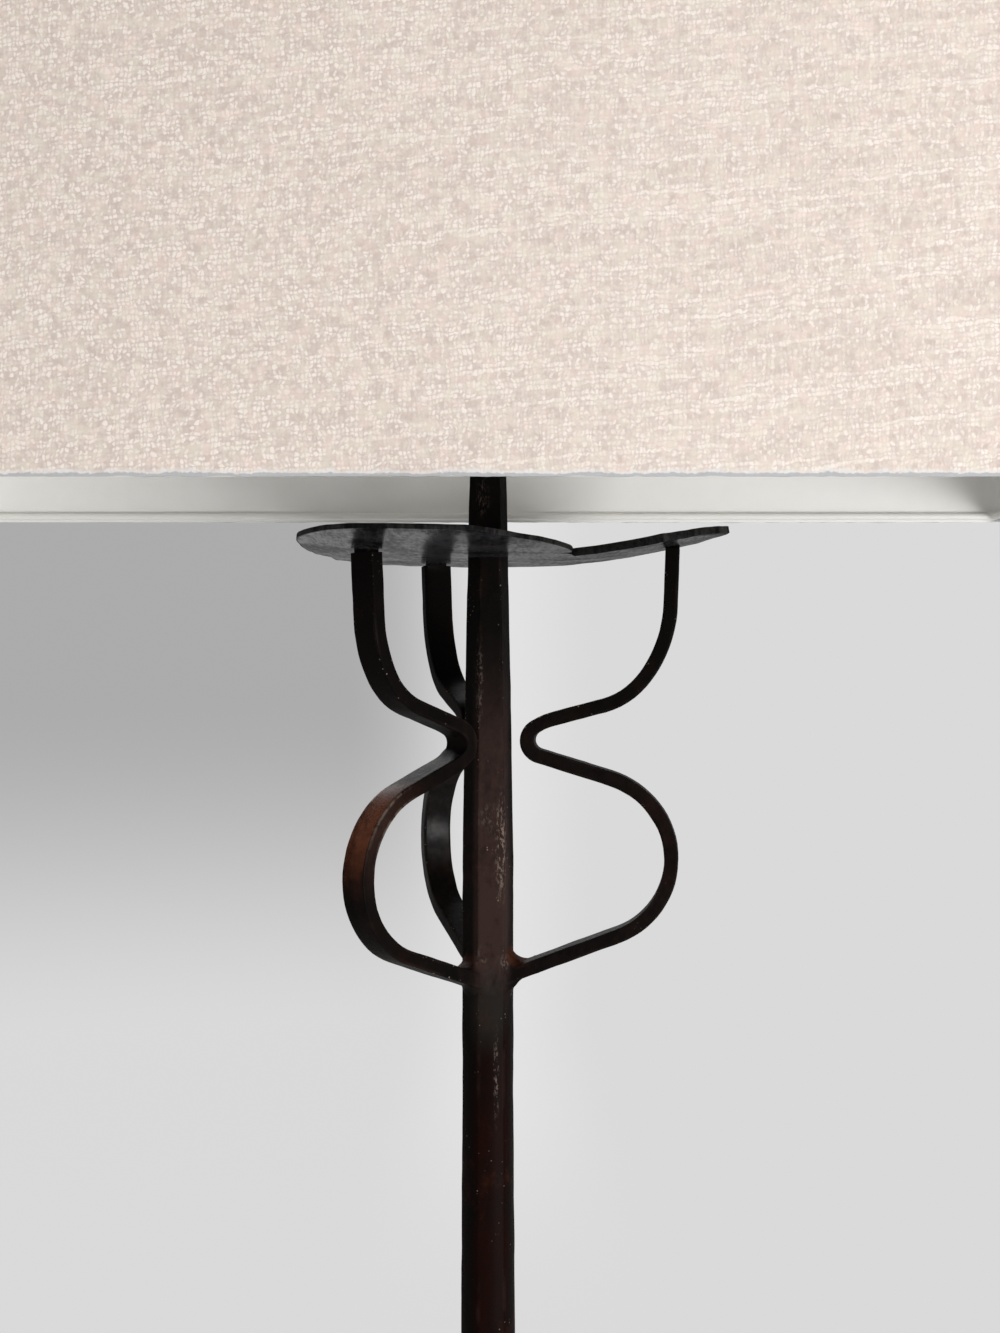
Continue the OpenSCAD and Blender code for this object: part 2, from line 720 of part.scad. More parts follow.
stem();
cord_grommet();
leg_right();
leg_rear();
leg_front();
leg_welds();
tray();
tray_bracket_right();
tray_bracket_rear();
tray_bracket_left();
bracket_welds();
threaded_nipple();
stem_washer();
harp_saddle();
saddle_nut();
harp();
harp_stud();
harp_sleeve_left();
harp_sleeve_right();
holder_cap();
cap_screw();
holder_shell();
holder_liner();
holder_core();
screw_contact();
centre_contact();
terminal_screws();
switch_shaft();
switch_knob();
bulb_glass();
bulb_cap();
bulb_insulator();
bulb_contact();
bulb_filament();
shade_lower_frame();
shade_upper_frame();
shade_spider();
spider_washer();
shade_backing();
shade_linen();
finial();
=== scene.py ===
import json
import math
import random

import bpy
from mathutils import Matrix, Vector, noise


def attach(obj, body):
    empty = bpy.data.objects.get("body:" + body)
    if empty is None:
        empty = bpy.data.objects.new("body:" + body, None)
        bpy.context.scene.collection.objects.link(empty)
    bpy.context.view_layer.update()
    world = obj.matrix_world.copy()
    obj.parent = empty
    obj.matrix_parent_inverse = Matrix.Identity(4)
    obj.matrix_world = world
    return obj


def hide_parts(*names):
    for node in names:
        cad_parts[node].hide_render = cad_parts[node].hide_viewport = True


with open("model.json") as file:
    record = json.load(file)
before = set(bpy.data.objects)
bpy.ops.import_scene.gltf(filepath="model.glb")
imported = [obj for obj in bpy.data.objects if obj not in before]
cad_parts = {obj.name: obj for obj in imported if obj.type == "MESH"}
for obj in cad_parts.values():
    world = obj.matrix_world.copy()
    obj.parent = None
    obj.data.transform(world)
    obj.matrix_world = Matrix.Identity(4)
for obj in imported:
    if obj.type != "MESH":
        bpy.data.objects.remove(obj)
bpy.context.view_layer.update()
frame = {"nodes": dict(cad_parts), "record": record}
nodes = frame["nodes"]
mm = 0.001
print("loaded", len(nodes), "nodes of the lamp")

# Camera: a level view of the tray and the shade's lower half, as the photograph was taken
shot = {
    "place": (0.006, -0.9, 1.15),
    "focalPixels": 1800,
    "longSidePixels": 1333,
    "sensor": 36,
}
cameraData = bpy.data.cameras.new("cameraFront")
cameraData.sensor_width = shot["sensor"]
cameraData.lens = shot["focalPixels"] / shot["longSidePixels"] * shot["sensor"]
camera = bpy.data.objects.new("cameraFront", cameraData)
camera.location = shot["place"]
camera.rotation_euler = (math.radians(90), 0, 0)
bpy.context.scene.collection.objects.link(camera)
bpy.context.scene.camera = camera
bpy.context.scene.view_settings.view_transform = "Standard"


class Signal:
    # a node's output that sums can be done with
    def __init__(self, finish, socket):
        self.finish = finish
        self.socket = socket

    def __add__(self, other):
        return self.finish.sum("ADD", self, other)

    def __sub__(self, other):
        return self.finish.sum("SUBTRACT", self, other)

    def __mul__(self, other):
        return self.finish.sum("MULTIPLY", self, other)

    def __truediv__(self, other):
        return self.finish.sum("DIVIDE", self, other)

    def __pow__(self, other):
        return self.finish.sum("POWER", self, other)

    def __gt__(self, other):
        return self.finish.sum("GREATER_THAN", self, other)

    def __lt__(self, other):
        return self.finish.sum("LESS_THAN", self, other)

    def __mod__(self, other):
        return self.finish.sum("FLOORED_MODULO", self, other)

    def __radd__(self, other):
        return self.finish.sum("ADD", other, self)

    def __rsub__(self, other):
        return self.finish.sum("SUBTRACT", other, self)

    def __rmul__(self, other):
        return self.finish.sum("MULTIPLY", other, self)


class Finish:
    # a material and the few ways in which its nodes are made
    def __init__(self, name, **skin):
        self.material = bpy.data.materials.new(name)
        self.material.use_nodes = True
        self.tree = self.material.node_tree
        self.skin = self.tree.nodes["Principled BSDF"]
        self.place = self.node("ShaderNodeTexCoord", out="Object")
        self.set(**skin)

    def node(self, kind, settings=None, sockets=None, out=0):
        made = self.tree.nodes.new(kind)
        for key, value in (settings or {}).items():
            if key == "stops":
                ramp = made.color_ramp.elements
                while len(ramp) < len(value):
                    ramp.new(1)
                for stop, (position, colour) in zip(ramp, value):
                    stop.position = position
                    stop.color = colour
            else:
                setattr(made, key, value)
        for key, value in (sockets or {}).items():
            self.feed(made.inputs[key], value)
        return Signal(self, made.outputs[out])

    def feed(self, socket, value):
        if isinstance(value, Signal):
            self.tree.links.new(value.socket, socket)
        else:
            socket.default_value = value

    def set(self, **skin):
        for key, value in skin.items():
            self.feed(self.skin.inputs[key.replace("_", " ")], value)

    def sum(self, operation, first, second=0.0):
        return self.node("ShaderNodeMath", {"operation": operation}, {0: first, 1: second})

    def split(self, vector, axis):
        return self.node("ShaderNodeSeparateXYZ", {}, {0: vector}, axis)

    def join(self, x, y, z):
        return self.node("ShaderNodeCombineXYZ", {}, {0: x, 1: y, 2: z})

    def clouds(self, scale, detail=3, roughness=0.5, place=None, stretch=None, out=0):
        place = place or self.place
        if stretch:
            place = self.node("ShaderNodeMapping", {}, {"Vector": place, "Scale": stretch})
        values = {"Vector": place, "Scale": scale, "Detail": detail, "Roughness": roughness}
        return self.node("ShaderNodeTexNoise", {}, values, out)

    def cells(self, scale, place=None, feature="F1", out=0):
        settings = {"feature": feature}
        return self.node("ShaderNodeTexVoronoi", settings, {"Vector": place or self.place, "Scale": scale}, out)

    def step(self, value, low, high):
        settings = {"interpolation_type": "SMOOTHSTEP"}
        return self.node("ShaderNodeMapRange", settings, {0: value, 1: low, 2: high})

    def mix(self, factor, first, second):
        return self.node("ShaderNodeMix", {"data_type": "RGBA"}, {0: factor, 6: first, 7: second}, 2)

    def painted(self, name):
        return self.node("ShaderNodeAttribute", {"attribute_name": name}, {}, 2)

    def near(self, place, size):
        # 1 at a place on the lamp, and 0 from that distance on
        scale = Vector([1 / one for one in size])
        sockets = {"Vector": self.place, "Scale": scale, "Location": -Vector(place) * scale}
        moved = self.node("ShaderNodeMapping", {}, sockets)
        away = self.node("ShaderNodeVectorMath", {"operation": "LENGTH"}, {0: moved}, 1)
        return self.step(away, 1.0, 0.2)

    def chance(self, place):
        return self.node("ShaderNodeTexWhiteNoise", {}, {"Vector": place})

    def relief(self, height, depth, normal=None):
        sockets = {"Strength": 1.0, "Distance": depth, "Height": height}
        if normal:
            sockets["Normal"] = normal
        return self.node("ShaderNodeBump", {}, sockets)


# Studio: a wide round backdrop that lights nothing, and a pale floor that keeps the lamp's shadow
studio = {
    "radius": 5.0,
    "cove": 1.2,
    "height": 6.0,
    "grey": 0.70,
    "shadowGrey": 0.41,
    "glow": 0.065,
    "floorRadius": 1.9,
    "floorColour": (0.80, 0.80, 0.80, 1),
    "floorLift": 0.06,
    "looks": ("Camera", "Glossy", "Transmission"),
    "world": 0.34,
    "keyPlace": (1.35, -1.65, 2.1),
    "keySize": 1.1,
    "keyPower": 8,
    "lowPlace": (1.40, -1.95, 0.50),
    "lowSize": 1.1,
    "lowPower": 44,
    "backPlace": (-0.7, 2.3, 2.5),
    "backSize": 1.6,
    "backPower": 48,
}


def makeBackdrop():
    bpy.ops.mesh.primitive_circle_add(vertices=96, radius=studio["radius"], fill_type="NGON")
    wall = bpy.context.object
    wall.name = "backdrop"
    bpy.ops.object.mode_set(mode="EDIT")
    bpy.ops.mesh.extrude_region_move(TRANSFORM_OT_translate={"value": (0, 0, studio["height"])})
    bpy.ops.mesh.delete(type="ONLY_FACE")
    bpy.ops.object.mode_set(mode="OBJECT")
    wall.location.z = -0.004
    bpy.ops.object.transform_apply(location=True)
    wall.visible_diffuse = False
    wall.visible_shadow = False
    finish = Finish("backdropPaper")
    x = finish.split(finish.place, 0)
    y = finish.split(finish.place, 1)
    z = finish.split(finish.place, 2)
    # the soft shadow to the left of the lamp, and the glow behind its stem
    across = finish.step(x, 0.06, -0.512)
    up = finish.step(z, -0.08, 1.073)
    behind = finish.step(y, 2.0, 4.0)
    shadow = across * up * behind
    glow = finish.step(finish.sum("ABSOLUTE", x), 0.34, 0.0) * behind * studio["glow"]
    grey = studio["grey"] - shadow * (studio["grey"] - studio["shadowGrey"]) + glow
    paper = finish.node("ShaderNodeEmission", {}, {0: finish.join(grey, grey, grey), 1: 1.0})
    # from under the floor nothing hides the lamp
    facing = finish.node("ShaderNodeNewGeometry", {}, {}, "Backfacing")
    clear = finish.node("ShaderNodeBsdfTransparent")
    under = (1 - facing) * (z < 0.001)
    paper = finish.node("ShaderNodeMixShader", {}, {0: under, 1: paper, 2: clear})
    finish.tree.links.new(paper.socket, finish.tree.nodes["Material Output"].inputs["Surface"])
    wall.data.materials.append(finish.material)


def makeFloor():
    bpy.ops.mesh.primitive_circle_add(vertices=96, radius=studio["floorRadius"], fill_type="NGON")
    floor = bpy.context.object
    floor.name = "floor"
    finish = Finish("floorPaper", Base_Color=studio["floorColour"], Roughness=0.9)
    reach = finish.node("ShaderNodeVectorMath", {"operation": "LENGTH"}, {0: finish.place}, 1)
    facing = finish.node("ShaderNodeNewGeometry", {}, {}, "Backfacing")
    finish.set(Alpha=finish.step(reach, studio["floorRadius"], 0.5) * (1 - facing))
    # seen straight, mirrored or through glass the paper is paler, which leaves the lamp's light alone
    seen = sum(finish.node("ShaderNodeLightPath", {}, {}, f"Is {kind} Ray") for kind in studio["looks"])
    seen = finish.sum("MINIMUM", seen, 1.0) * studio["floorLift"]
    finish.set(Emission_Color=finish.join(seen, seen, seen), Emission_Strength=1.0)
    floor.data.materials.append(finish.material)


def makeLamp(name, place, size, power):
    data = bpy.data.lights.new(name, "AREA")
    data.size = size
    data.energy = power
    lamp = bpy.data.objects.new(name, data)
    lamp.location = place
    lamp.rotation_mode = "QUATERNION"
    lamp.rotation_quaternion = (Vector((0, 0, 1.2)) - Vector(place)).to_track_quat("-Z", "Y")
    bpy.context.scene.collection.objects.link(lamp)


makeBackdrop()
makeFloor()
makeLamp("keyLamp", studio["keyPlace"], studio["keySize"], studio["keyPower"])
makeLamp("lowLamp", studio["lowPlace"], studio["lowSize"], studio["lowPower"])
makeLamp("backLamp", studio["backPlace"], studio["backSize"], studio["backPower"])
world = bpy.data.worlds.new("studioAir")
world.use_nodes = True
world.node_tree.nodes["Background"].inputs["Color"].default_value = (1, 1, 1, 1)
world.node_tree.nodes["Background"].inputs["Strength"].default_value = studio["world"]
bpy.context.scene.world = world
print("studio and camera are set")


# Finishes
def forgedIron():
    iron = {
        "black": (0.0034, 0.0030, 0.0027, 1),
        "brown": (0.034, 0.0195, 0.0165, 1),
        "oxblood": (0.0105, 0.0026, 0.0016, 1),
        "rust": (0.190, 0.052, 0.019, 1),
        "pale": (0.29, 0.225, 0.185, 1),
        "flankHighlight": ((-0.047, -0.054, 1.074), (0.022, 0.022, 0.030)),
        "darkerBelowWelds": (0.0165, 0.0150, 0.0125, 1),
        "darkerBelowWeldsPlace": ((-0.001, -0.012, 0.980), (0.014, 0.02, 0.026)),
        "sheen": 0.32,
        "rustAndLitPlaces": [((-0.056, -0.061, 1.082), (0.034, 0.034, 0.046), 0.95), ((0.0150, -0.005, 1.0065), (0.008, 0.02, 0.007), 0.55), ((-0.011, -0.008, 1.003), (0.009, 0.01, 0.006), 0.22)],
        "waxPlaces": [((-0.030, 0.073, 1.060), (0.030, 0.030, 0.050)), ((-0.050, -0.050, 1.066), (0.022, 0.03, 0.040))],
        "chippedPlaces": [
            ((0.0070, -0.012, 1.060), (0.0044, 0.01, 0.036), 0.56), ((0.0010, -0.012, 1.075), (0.010, 0.01, 0.010), 0.14),
            ((-0.0045, -0.012, 1.143), (0.0030, 0.01, 0.030), 0.26), ((0.0042, -0.013, 0.948), (0.0020, 0.01, 0.030), 0.34),
            ((-0.0030, -0.013, 1.007), (0.005, 0.01, 0.007), 0.16), ((0.0085, -0.010, 1.004), (0.003, 0.01, 0.005), 0.34),
            ((-0.0030, -0.009, 1.234), (0.0050, 0.01, 0.013), 0.16),
        ],
    }
    f = Finish("forgedIron", Specular_IOR_Level=0.006, Coat_Roughness=0.28, Coat_IOR=1.5)
    broad = f.clouds(26, 5, 0.62)
    fine = f.clouds(260, 4, 0.65)
    flow = f.clouds(1, 4, 0.6, stretch=(170, 170, 40))
    x = f.split(f.place, 0)
    y = f.split(f.place, 1)
    z = f.split(f.place, 2)
    onStem = f.step(f.sum("SQRT", x * x + y * y), 0.021, 0.0145)
    # facing picks the stem's front and back facets; the brown laid more strongly on them is painted light, and the
    # other facets stay black as painted shade
    facing = f.step(x, -0.0085, -0.0055) * f.step(x, 0.0120, 0.0085)
    # brown between the tray and the welds: the iron's patina, and painted light on the stem's lit front facet; above
    # the band, under the tray and shade, the stem is painted black as shade; it reddens towards the foot
    litBrownBand = f.step(z, 1.175, 1.075) * f.step(z, 0.970, 1.008)
    low = f.step(z, 1.015, 0.925)
    mottle = f.step(broad * 0.45 + fine * 0.25 + flow * 0.30, 0.36, 0.62)
    # the left bracket's inner flank is painted in shade: less brown and little rust there, and a painted highlight
    # along its edge
    shadedFlank = f.step(x * 0.731 - y * 0.682, 0.0064, 0.0071) * f.step(x, -0.012, -0.016)
    brown = mottle * (litBrownBand * (onStem * facing * 0.66 + 0.16 - shadedFlank * 0.10) + 0.04) + litBrownBand * onStem * facing * 0.40
    skin = f.mix(brown, iron["black"], iron["brown"])
    skin = f.mix(low * (mottle * 0.55 + 0.30) * (facing * 0.75 + 0.25), skin, iron["oxblood"])
    # the stem's front is darker at and just below the bracket welds
    darkerBelowWelds = f.near(*iron["darkerBelowWeldsPlace"])
    skin = f.mix(darkerBelowWelds * 0.75, skin, iron["darkerBelowWelds"])
    # rust: patches that thicken down the lamp, and a film where the bars were bent and welded hot; on the left
    # bracket's belly this reddish brown is also painted light on the broad face, kept off the shaded flank
    foot = f.step(z, 0.60, 0.10)
    rustAndLitPatches = f.step(f.clouds(15, 6, 0.7), 0.54, 0.70) * (low * 0.12 + foot * 0.16 + 0.03)
    for place, size, amount in iron["rustAndLitPlaces"]:
        rustAndLitPatches = rustAndLitPatches + f.near(place, size) * (mottle * 0.70 + 0.15) * (1 - shadedFlank * 0.9) * amount
    skin = f.mix(f.sum("MINIMUM", rustAndLitPatches, 0.85), skin, iron["rust"])
    # edges are rubbed brown here and there, and chipped to pale metal in a few places; a pale line along the left
    # bracket's flank edge is a painted highlight
    edge = f.painted("edge")
    rubbed = edge * f.step(f.clouds(38, 3, 0.6), 0.50, 0.68)
    skin = f.mix(rubbed * 0.28, skin, iron["brown"])
    flakes = f.step(f.clouds(1, 3, 0.72, stretch=(820, 820, 330)), 0.50, 0.60)
    specks = f.step(f.cells(430), 0.20, 0.10)
    bareAndHighlight = specks * f.step(f.clouds(55, 2), 0.62, 0.70) * (onStem * 0.5 + 0.12) * (1 - darkerBelowWelds)
    for place, size, amount in iron["chippedPlaces"]:
        bareAndHighlight = bareAndHighlight + f.near(place, size) * flakes * amount
    # a pale line along the flank's edge is a painted highlight
    place, size = iron["flankHighlight"]
    bareAndHighlight = bareAndHighlight + f.near(place, size) * edge * f.step(fine, 0.40, 0.55) * shadedFlank * 0.35
    bareAndHighlight = bareAndHighlight + edge * specks * f.step(f.clouds(40, 2), 0.50, 0.62) * 0.6
    skin = f.mix(f.sum("MINIMUM", bareAndHighlight, 0.7), skin, iron["pale"])
    wax = 0.012
    for place, size in iron["waxPlaces"]:
        wax = f.near(place, size) * (mottle * 0.65 + 0.35) * iron["sheen"] + wax
    rough = 0.34 + fine * 0.22 + rustAndLitPatches * 0.2
    hammer = f.relief(f.clouds(48, 2, 0.5), 0.0009)
    pits = f.relief(f.step(f.clouds(300, 3, 0.7), 0.60, 0.42), 0.00006, hammer)
    f.set(Base_Color=skin, Roughness=rough, Metallic=0.0, Coat_Weight=wax, Normal=pits)
    return f.material


def trayIron():
    sheet = {
        "black": (0.0045, 0.0042, 0.0044, 1),
        "grey": (0.030, 0.029, 0.031, 1),
        "rim": (0.0250, 0.0238, 0.0230, 1),
    }
    f = Finish("trayIron", Roughness=0.55, Specular_IOR_Level=0.0, Coat_Roughness=0.20, Coat_IOR=1.45)
    broad = f.clouds(30, 5, 0.65)
    fine = f.clouds(330, 4, 0.72)
    rolled = f.clouds(1, 3, 0.7, stretch=(560, 90, 90))
    scale = f.step(broad * 0.42 + fine * 0.26 + rolled * 0.32, 0.41, 0.59)
    skin = f.mix(scale, sheet["black"], sheet["grey"])
    # handled more at its left end, where the scale has worn to a shine
    worn = f.step(f.split(f.place, 0), 0.030, -0.085)
    edge = f.painted("edge")
    # the rim is darker and has less coat; so is the band of underside marked as edge beside the right lobe's rim, which
    # is a painted shadow
    skin = f.mix(edge, skin, f.mix(scale, sheet["black"], sheet["rim"]))
    shine = (scale * 0.22 + 0.17) * (worn * 0.75 + 1) * (1 - edge * 0.85)
    dents = f.relief(f.clouds(26, 1, 0.5), 0.0002)
    f.set(Base_Color=skin, Coat_Weight=shine, Normal=f.relief(fine, 0.00002, dents))
    return f.material


def metal(name, colour, dull, roughness, grain=500):
    f = Finish(name, Metallic=1.0)
    tone = f.clouds(90, 4, 0.6)
    marks = f.clouds(grain, 3, 0.6)
    f.set(Base_Color=f.mix(tone, colour, dull), Roughness=roughness + marks * 0.18)
    f.set(Normal=f.relief(marks, 0.00003))
    return f.material


def moulded(name, colour, second, roughness, depth=0.00005):
    f = Finish(name)
    tone = f.clouds(120, 4, 0.6)
    f.set(Base_Color=f.mix(tone, colour, second), Roughness=roughness + tone * 0.12)
    f.set(Normal=f.relief(f.clouds(700, 3, 0.6), depth))
    return f.material


def linenCloth():
    cloth = {
        "gap": (0.645, 0.541, 0.482, 1),
        "high": (0.955, 0.868, 0.797, 1),
        "warm": (0.88, 0.715, 0.640, 1),
        "straw": (0.82, 0.760, 0.640, 1),
        "shadedHemLine": (0.40, 0.42, 0.45, 1),
        "fringe": (0.80, 0.785, 0.765, 1),
        "pitchAcross": 1.95 * mm,
        "pitchUp": 2.26 * mm,
        "slant": 0.095,
        "lift": 1.35,
        "frontMiddle": 0.822,
        "depth": 0.07 * mm,
    }
    f = Finish("linen", Roughness=0.95, Specular_IOR_Level=0.15, Sheen_Weight=0.08)
    cut = f.node("ShaderNodeUVMap", {"uv_map": "cloth"})
    across = f.split(cut, 0)
    up = f.split(cut, 1)
    sway = f.clouds(9, 2, 0.5, cut, out=1)
    waver = f.clouds(120, 2, 0.5, cut, out=1)
    shake = f.clouds(430, 1, 0.5, cut, out=1)

    def drift(axis):
        wide = (f.split(sway, axis) - 0.5) * 10 * mm
        return wide + (f.split(waver, axis) - 0.5) * 4.2 * mm + (f.split(shake, axis) - 0.5) * 2.6 * mm

    row = (up - across * cloth["slant"] + drift(0)) / cloth["pitchUp"]
    column = (across + drift(1)) / cloth["pitchAcross"]
    rowName = f.sum("FLOOR", row)
    columnName = f.sum("FLOOR", column)
    rowPart = f.sum("FRACT", row) - 0.5
    columnPart = f.sum("FRACT", column) - 0.5
    over = (rowName + columnName) % 2
    roundRow = 1 - rowPart * rowPart * 4
    roundColumn = 1 - columnPart * columnPart * 4
    luck = f.chance(f.join(rowName, columnName, 0.0))
    secondLuck = f.chance(f.join(rowName, columnName, 5.0))
    # a warp yarn shows as a tall stitch and a weft yarn as a wide one, each of its own thickness
    tall = over * roundColumn * roundRow * (luck * 0.92 + 0.04)
    wide = (1 - over) * roundRow * roundColumn * (secondLuck * 0.82 + 0.02)
    hollow = (1 - roundRow) * (1 - roundColumn)
    # each yarn swells and thins along its length
    weftSwell = f.clouds(1, 3, 0.6, f.join(across * 70, rowName * 0.83, 0.0))
    warpSwell = f.clouds(1, 3, 0.6, f.join(columnName * 0.79, up * 85, 7.0))
    # the right half of the front is woven with more slubs
    slubby = f.step(across, cloth["frontMiddle"] - 0.14, cloth["frontMiddle"] + 0.12) * 0.65
    slubby = slubby * f.step(across, cloth["frontMiddle"] + 0.62, cloth["frontMiddle"] + 0.40) + 0.35
    slub = f.step(f.clouds(1, 2, 0.5, f.join(across * 20, rowName * 0.71, 2.0)), 0.56, 0.68) * slubby * roundRow
    long = f.clouds(1, 3, 0.6, f.join(across * 9, rowName * 1.7, 3.0))
    streak = (f.step(long, 0.42, 0.62) - 0.5) * slubby
    rib = (f.clouds(1, 2, 0.5, f.join(columnName * 0.9, up * 5, 11.0)) - 0.5) * slubby
    tone = f.clouds(20, 5, 0.75, cut)
    plain = 1.40 - slubby * 0.60
    level = 0.60 - plain * 0.37 + (tall + wide) * plain * 1.25 + slub * 0.30 + (tone - 0.5) * 0.42 - hollow * 0.10
    level = level + ((weftSwell - 0.5) * 0.95 + streak * 0.34) * roundRow
    level = level + ((warpSwell - 0.5) * 0.72 + rib * 0.50) * roundColumn
    level = level + (f.clouds(270, 2, 0.6, cut) - 0.5) * 1.3 * plain
    # bright stitches stand out of an even ground
    level = f.sum("MAXIMUM", level, 0.0) ** cloth["lift"]
    skin = f.mix(level, cloth["gap"], cloth["high"])
    # yarns of slightly different dye, one by one and in patches
    rosy = f.step(f.clouds(105, 4, 0.7, cut), 0.46, 0.66) * 0.50 + f.step(luck, 0.6, 1.0) * 0.16
    skin = f.mix(rosy, skin, cloth["warm"])
    strawy = f.step(f.clouds(120, 4, 0.7, f.join(across, up, 3.0)), 0.46, 0.66) * 0.50 + f.step(secondLuck, 0.6, 1.0) * 0.16
    skin = f.mix(strawy, skin, cloth["straw"])
    # the cut edge is frayed, and its lowest millimetre or so is painted as a thin blue-grey line of shade, where the
    # edge's underside is in shadow
    ragged = (f.split(waver, 2) - 0.5) * 3.0 * mm + (f.split(shake, 2) - 0.5) * 2.4 * mm
    skin = f.mix(f.step(up + ragged, 3.4 * mm, 2.2 * mm) * (luck * 0.6 + 0.3), skin, cloth["fringe"])
    skin = f.mix(f.step(up + ragged * 0.6, 1.7 * mm, 1.0 * mm) * 0.75, skin, cloth["shadedHemLine"])
    f.set(Base_Color=skin, Normal=f.relief(tall + wide + slub * 0.4 - hollow * 0.3, cloth["depth"]))
    return f.material


def opalGlass():
    f = Finish("opalGlass", Roughness=0.18, Coat_Weight=0.6, Transmission_Weight=0.25)
    tone = f.clouds(60, 2)
    f.set(Base_Color=f.mix(tone, (0.93, 0.92, 0.88, 1), (0.90, 0.88, 0.83, 1)))
    return f.material


finishes = {
    "forged_iron": forgedIron(),
    "tray_iron": trayIron(),
    "brass": metal("brass", (0.72, 0.53, 0.27, 1), (0.52, 0.36, 0.17, 1), 0.24),
    "steel": metal("nickelSteel", (0.66, 0.65, 0.63, 1), (0.50, 0.49, 0.47, 1), 0.22),
    "moulding": moulded("phenolic", (0.030, 0.020, 0.016, 1), (0.045, 0.030, 0.024, 1), 0.30),
    "card": moulded("fibreCard", (0.52, 0.40, 0.27, 1), (0.44, 0.33, 0.22, 1), 0.8, 0.0001),
    "black_rubber": moulded("rubber", (0.020, 0.020, 0.020, 1), (0.035, 0.034, 0.033, 1), 0.6),
    "opal_glass": opalGlass(),
    "white_wire": moulded("whitePowderCoat", (0.82, 0.81, 0.77, 1), (0.76, 0.75, 0.71, 1), 0.4, 0.0001),
    "white_backing": moulded("whiteSheet", (0.86, 0.85, 0.82, 1), (0.82, 0.81, 0.78, 1), 0.45),
    "linen": linenCloth(),
}
for part in frame["record"]["subparts"]:
    nodes[part["node"]].data.materials.clear()
    nodes[part["node"]].data.materials.append(finishes[part["material_slot"]])
print("finishes are made")


# Ways of working that several pieces share
def leaveEditMode():
    if bpy.context.object and bpy.context.object.mode != "OBJECT":
        bpy.ops.object.mode_set(mode="OBJECT")
    bpy.ops.object.select_all(action="DESELECT")


def pick(piece):
    leaveEditMode()
    piece.select_set(True)
    bpy.context.view_layer.objects.active = piece


def roundOutline(radius, sides):
    turns = [2 * math.pi * k / sides for k in range(sides)]
    return [(radius * math.cos(t), radius * math.sin(t), 0.0) for t in turns]


def barOutline(corners, radius, support, rounds=2):
    # corners rounded by arcs, which are marked as edges, with plain points beside each arc
    outline = []
    count = len(corners)
    for i, corner in enumerate(corners):
        here = Vector(corner)
        back = (Vector(corners[i - 1]) - here).normalized()
        onward = (Vector(corners[(i + 1) % count]) - here).normalized()
        half = back.angle(onward) / 2
        inward = (back + onward).normalized()
        middle = here + inward * radius / math.sin(half)
        reach = radius / math.tan(half)
        outline.append((*(here + back * (reach + support)), 0.0))
        first = (here + back * reach - middle).normalized()
        last = (here + onward * reach - middle).normalized()
        for k in range(rounds + 1):
            spoke = first.slerp(last, k / rounds)
            outline.append((*(middle + spoke * radius), 1.0))
        outline.append((*(here + onward * (reach + support)), 0.0))
    return outline


def startBar(name, outline, place, heading):
    # a flat face with that outline, square to a heading in the upright plane through the lamp's axis
    leaveEditMode()
    bpy.ops.mesh.primitive_circle_add(vertices=len(outline), radius=mm, fill_type="NGON")
    bar = bpy.context.object
    bar.name = name
    edge = bar.data.attributes.new("edge", "FLOAT", "POINT")
    up = Vector((-math.sin(heading), 0, math.cos(heading)))
    for vertex, (thick, wide, mark) in zip(bar.data.vertices, outline):
        vertex.co = Vector(place) + up * thick + Vector((0, wide, 0))
        edge.data[vertex.index].value = mark
    bpy.ops.object.mode_set(mode="EDIT")
    bpy.ops.mesh.select_all(action="SELECT")
    return bar


def walkBar(place, heading, runs, stride):
    # [length, 0] is a straight run and [radius, turn in degrees] a bend to the left or right
    x, z = place
    for length, turn in runs:
        if turn == 0:
            count = max(1, round(length / stride))
            step = Vector((math.cos(heading), 0, math.sin(heading))) * length / count
            for k in range(count):
                bpy.ops.mesh.extrude_region_move(TRANSFORM_OT_translate={"value": step})
            x += step.x * count
            z += step.z * count
            continue
        side = math.copysign(1, turn)
        angle = math.radians(turn)
        centre = (x - side * length * math.sin(heading), z + side * length * math.cos(heading))
        count = max(2, round(length * abs(angle) / stride), round(abs(turn) / 9))
        bpy.ops.mesh.spin(steps=count, angle=angle, center=(centre[0], 0, centre[1]), axis=(0, 1, 0))
        heading += angle
        x = centre[0] + side * length * math.sin(heading)
        z = centre[1] - side * length * math.cos(heading)
    return (x, z), heading


def tidySkin(piece):
    pick(piece)
    bpy.ops.object.mode_set(mode="EDIT")
    bpy.ops.mesh.select_all(action="SELECT")
    bpy.ops.mesh.remove_doubles(threshold=0.00001)
    bpy.ops.mesh.normals_make_consistent(inside=False)
    bpy.ops.object.mode_set(mode="OBJECT")


def forge(piece, depth, size, seed):
    # hammer blows: the surface sinks and swells a little, more along its edges
    drift = Vector((seed * 3.7, seed * 1.9, seed * 5.3))
    edge = piece.data.attributes.get("edge")
    normals = [vertex.normal.copy() for vertex in piece.data.vertices]
    for vertex, normal in zip(piece.data.vertices, normals):
        mark = edge.data[vertex.index].value if edge else 0
        swell = noise.noise(vertex.co / size + drift) + 0.5 * noise.noise(vertex.co / size * 2.3 - drift)
        vertex.co += normal * depth * swell * (1 + 0.6 * mark)


def apply(piece, kind, **settings):
    pick(piece)
    modifier = piece.modifiers.new(kind.lower(), kind)
    for key, value in settings.items():
        setattr(modifier, key, value)
    bpy.ops.object.modifier_apply(modifier=modifier.name)


def joinPieces(piece, others):
    pick(piece)
    for other in others:
        other.select_set(True)
    bpy.ops.object.join()


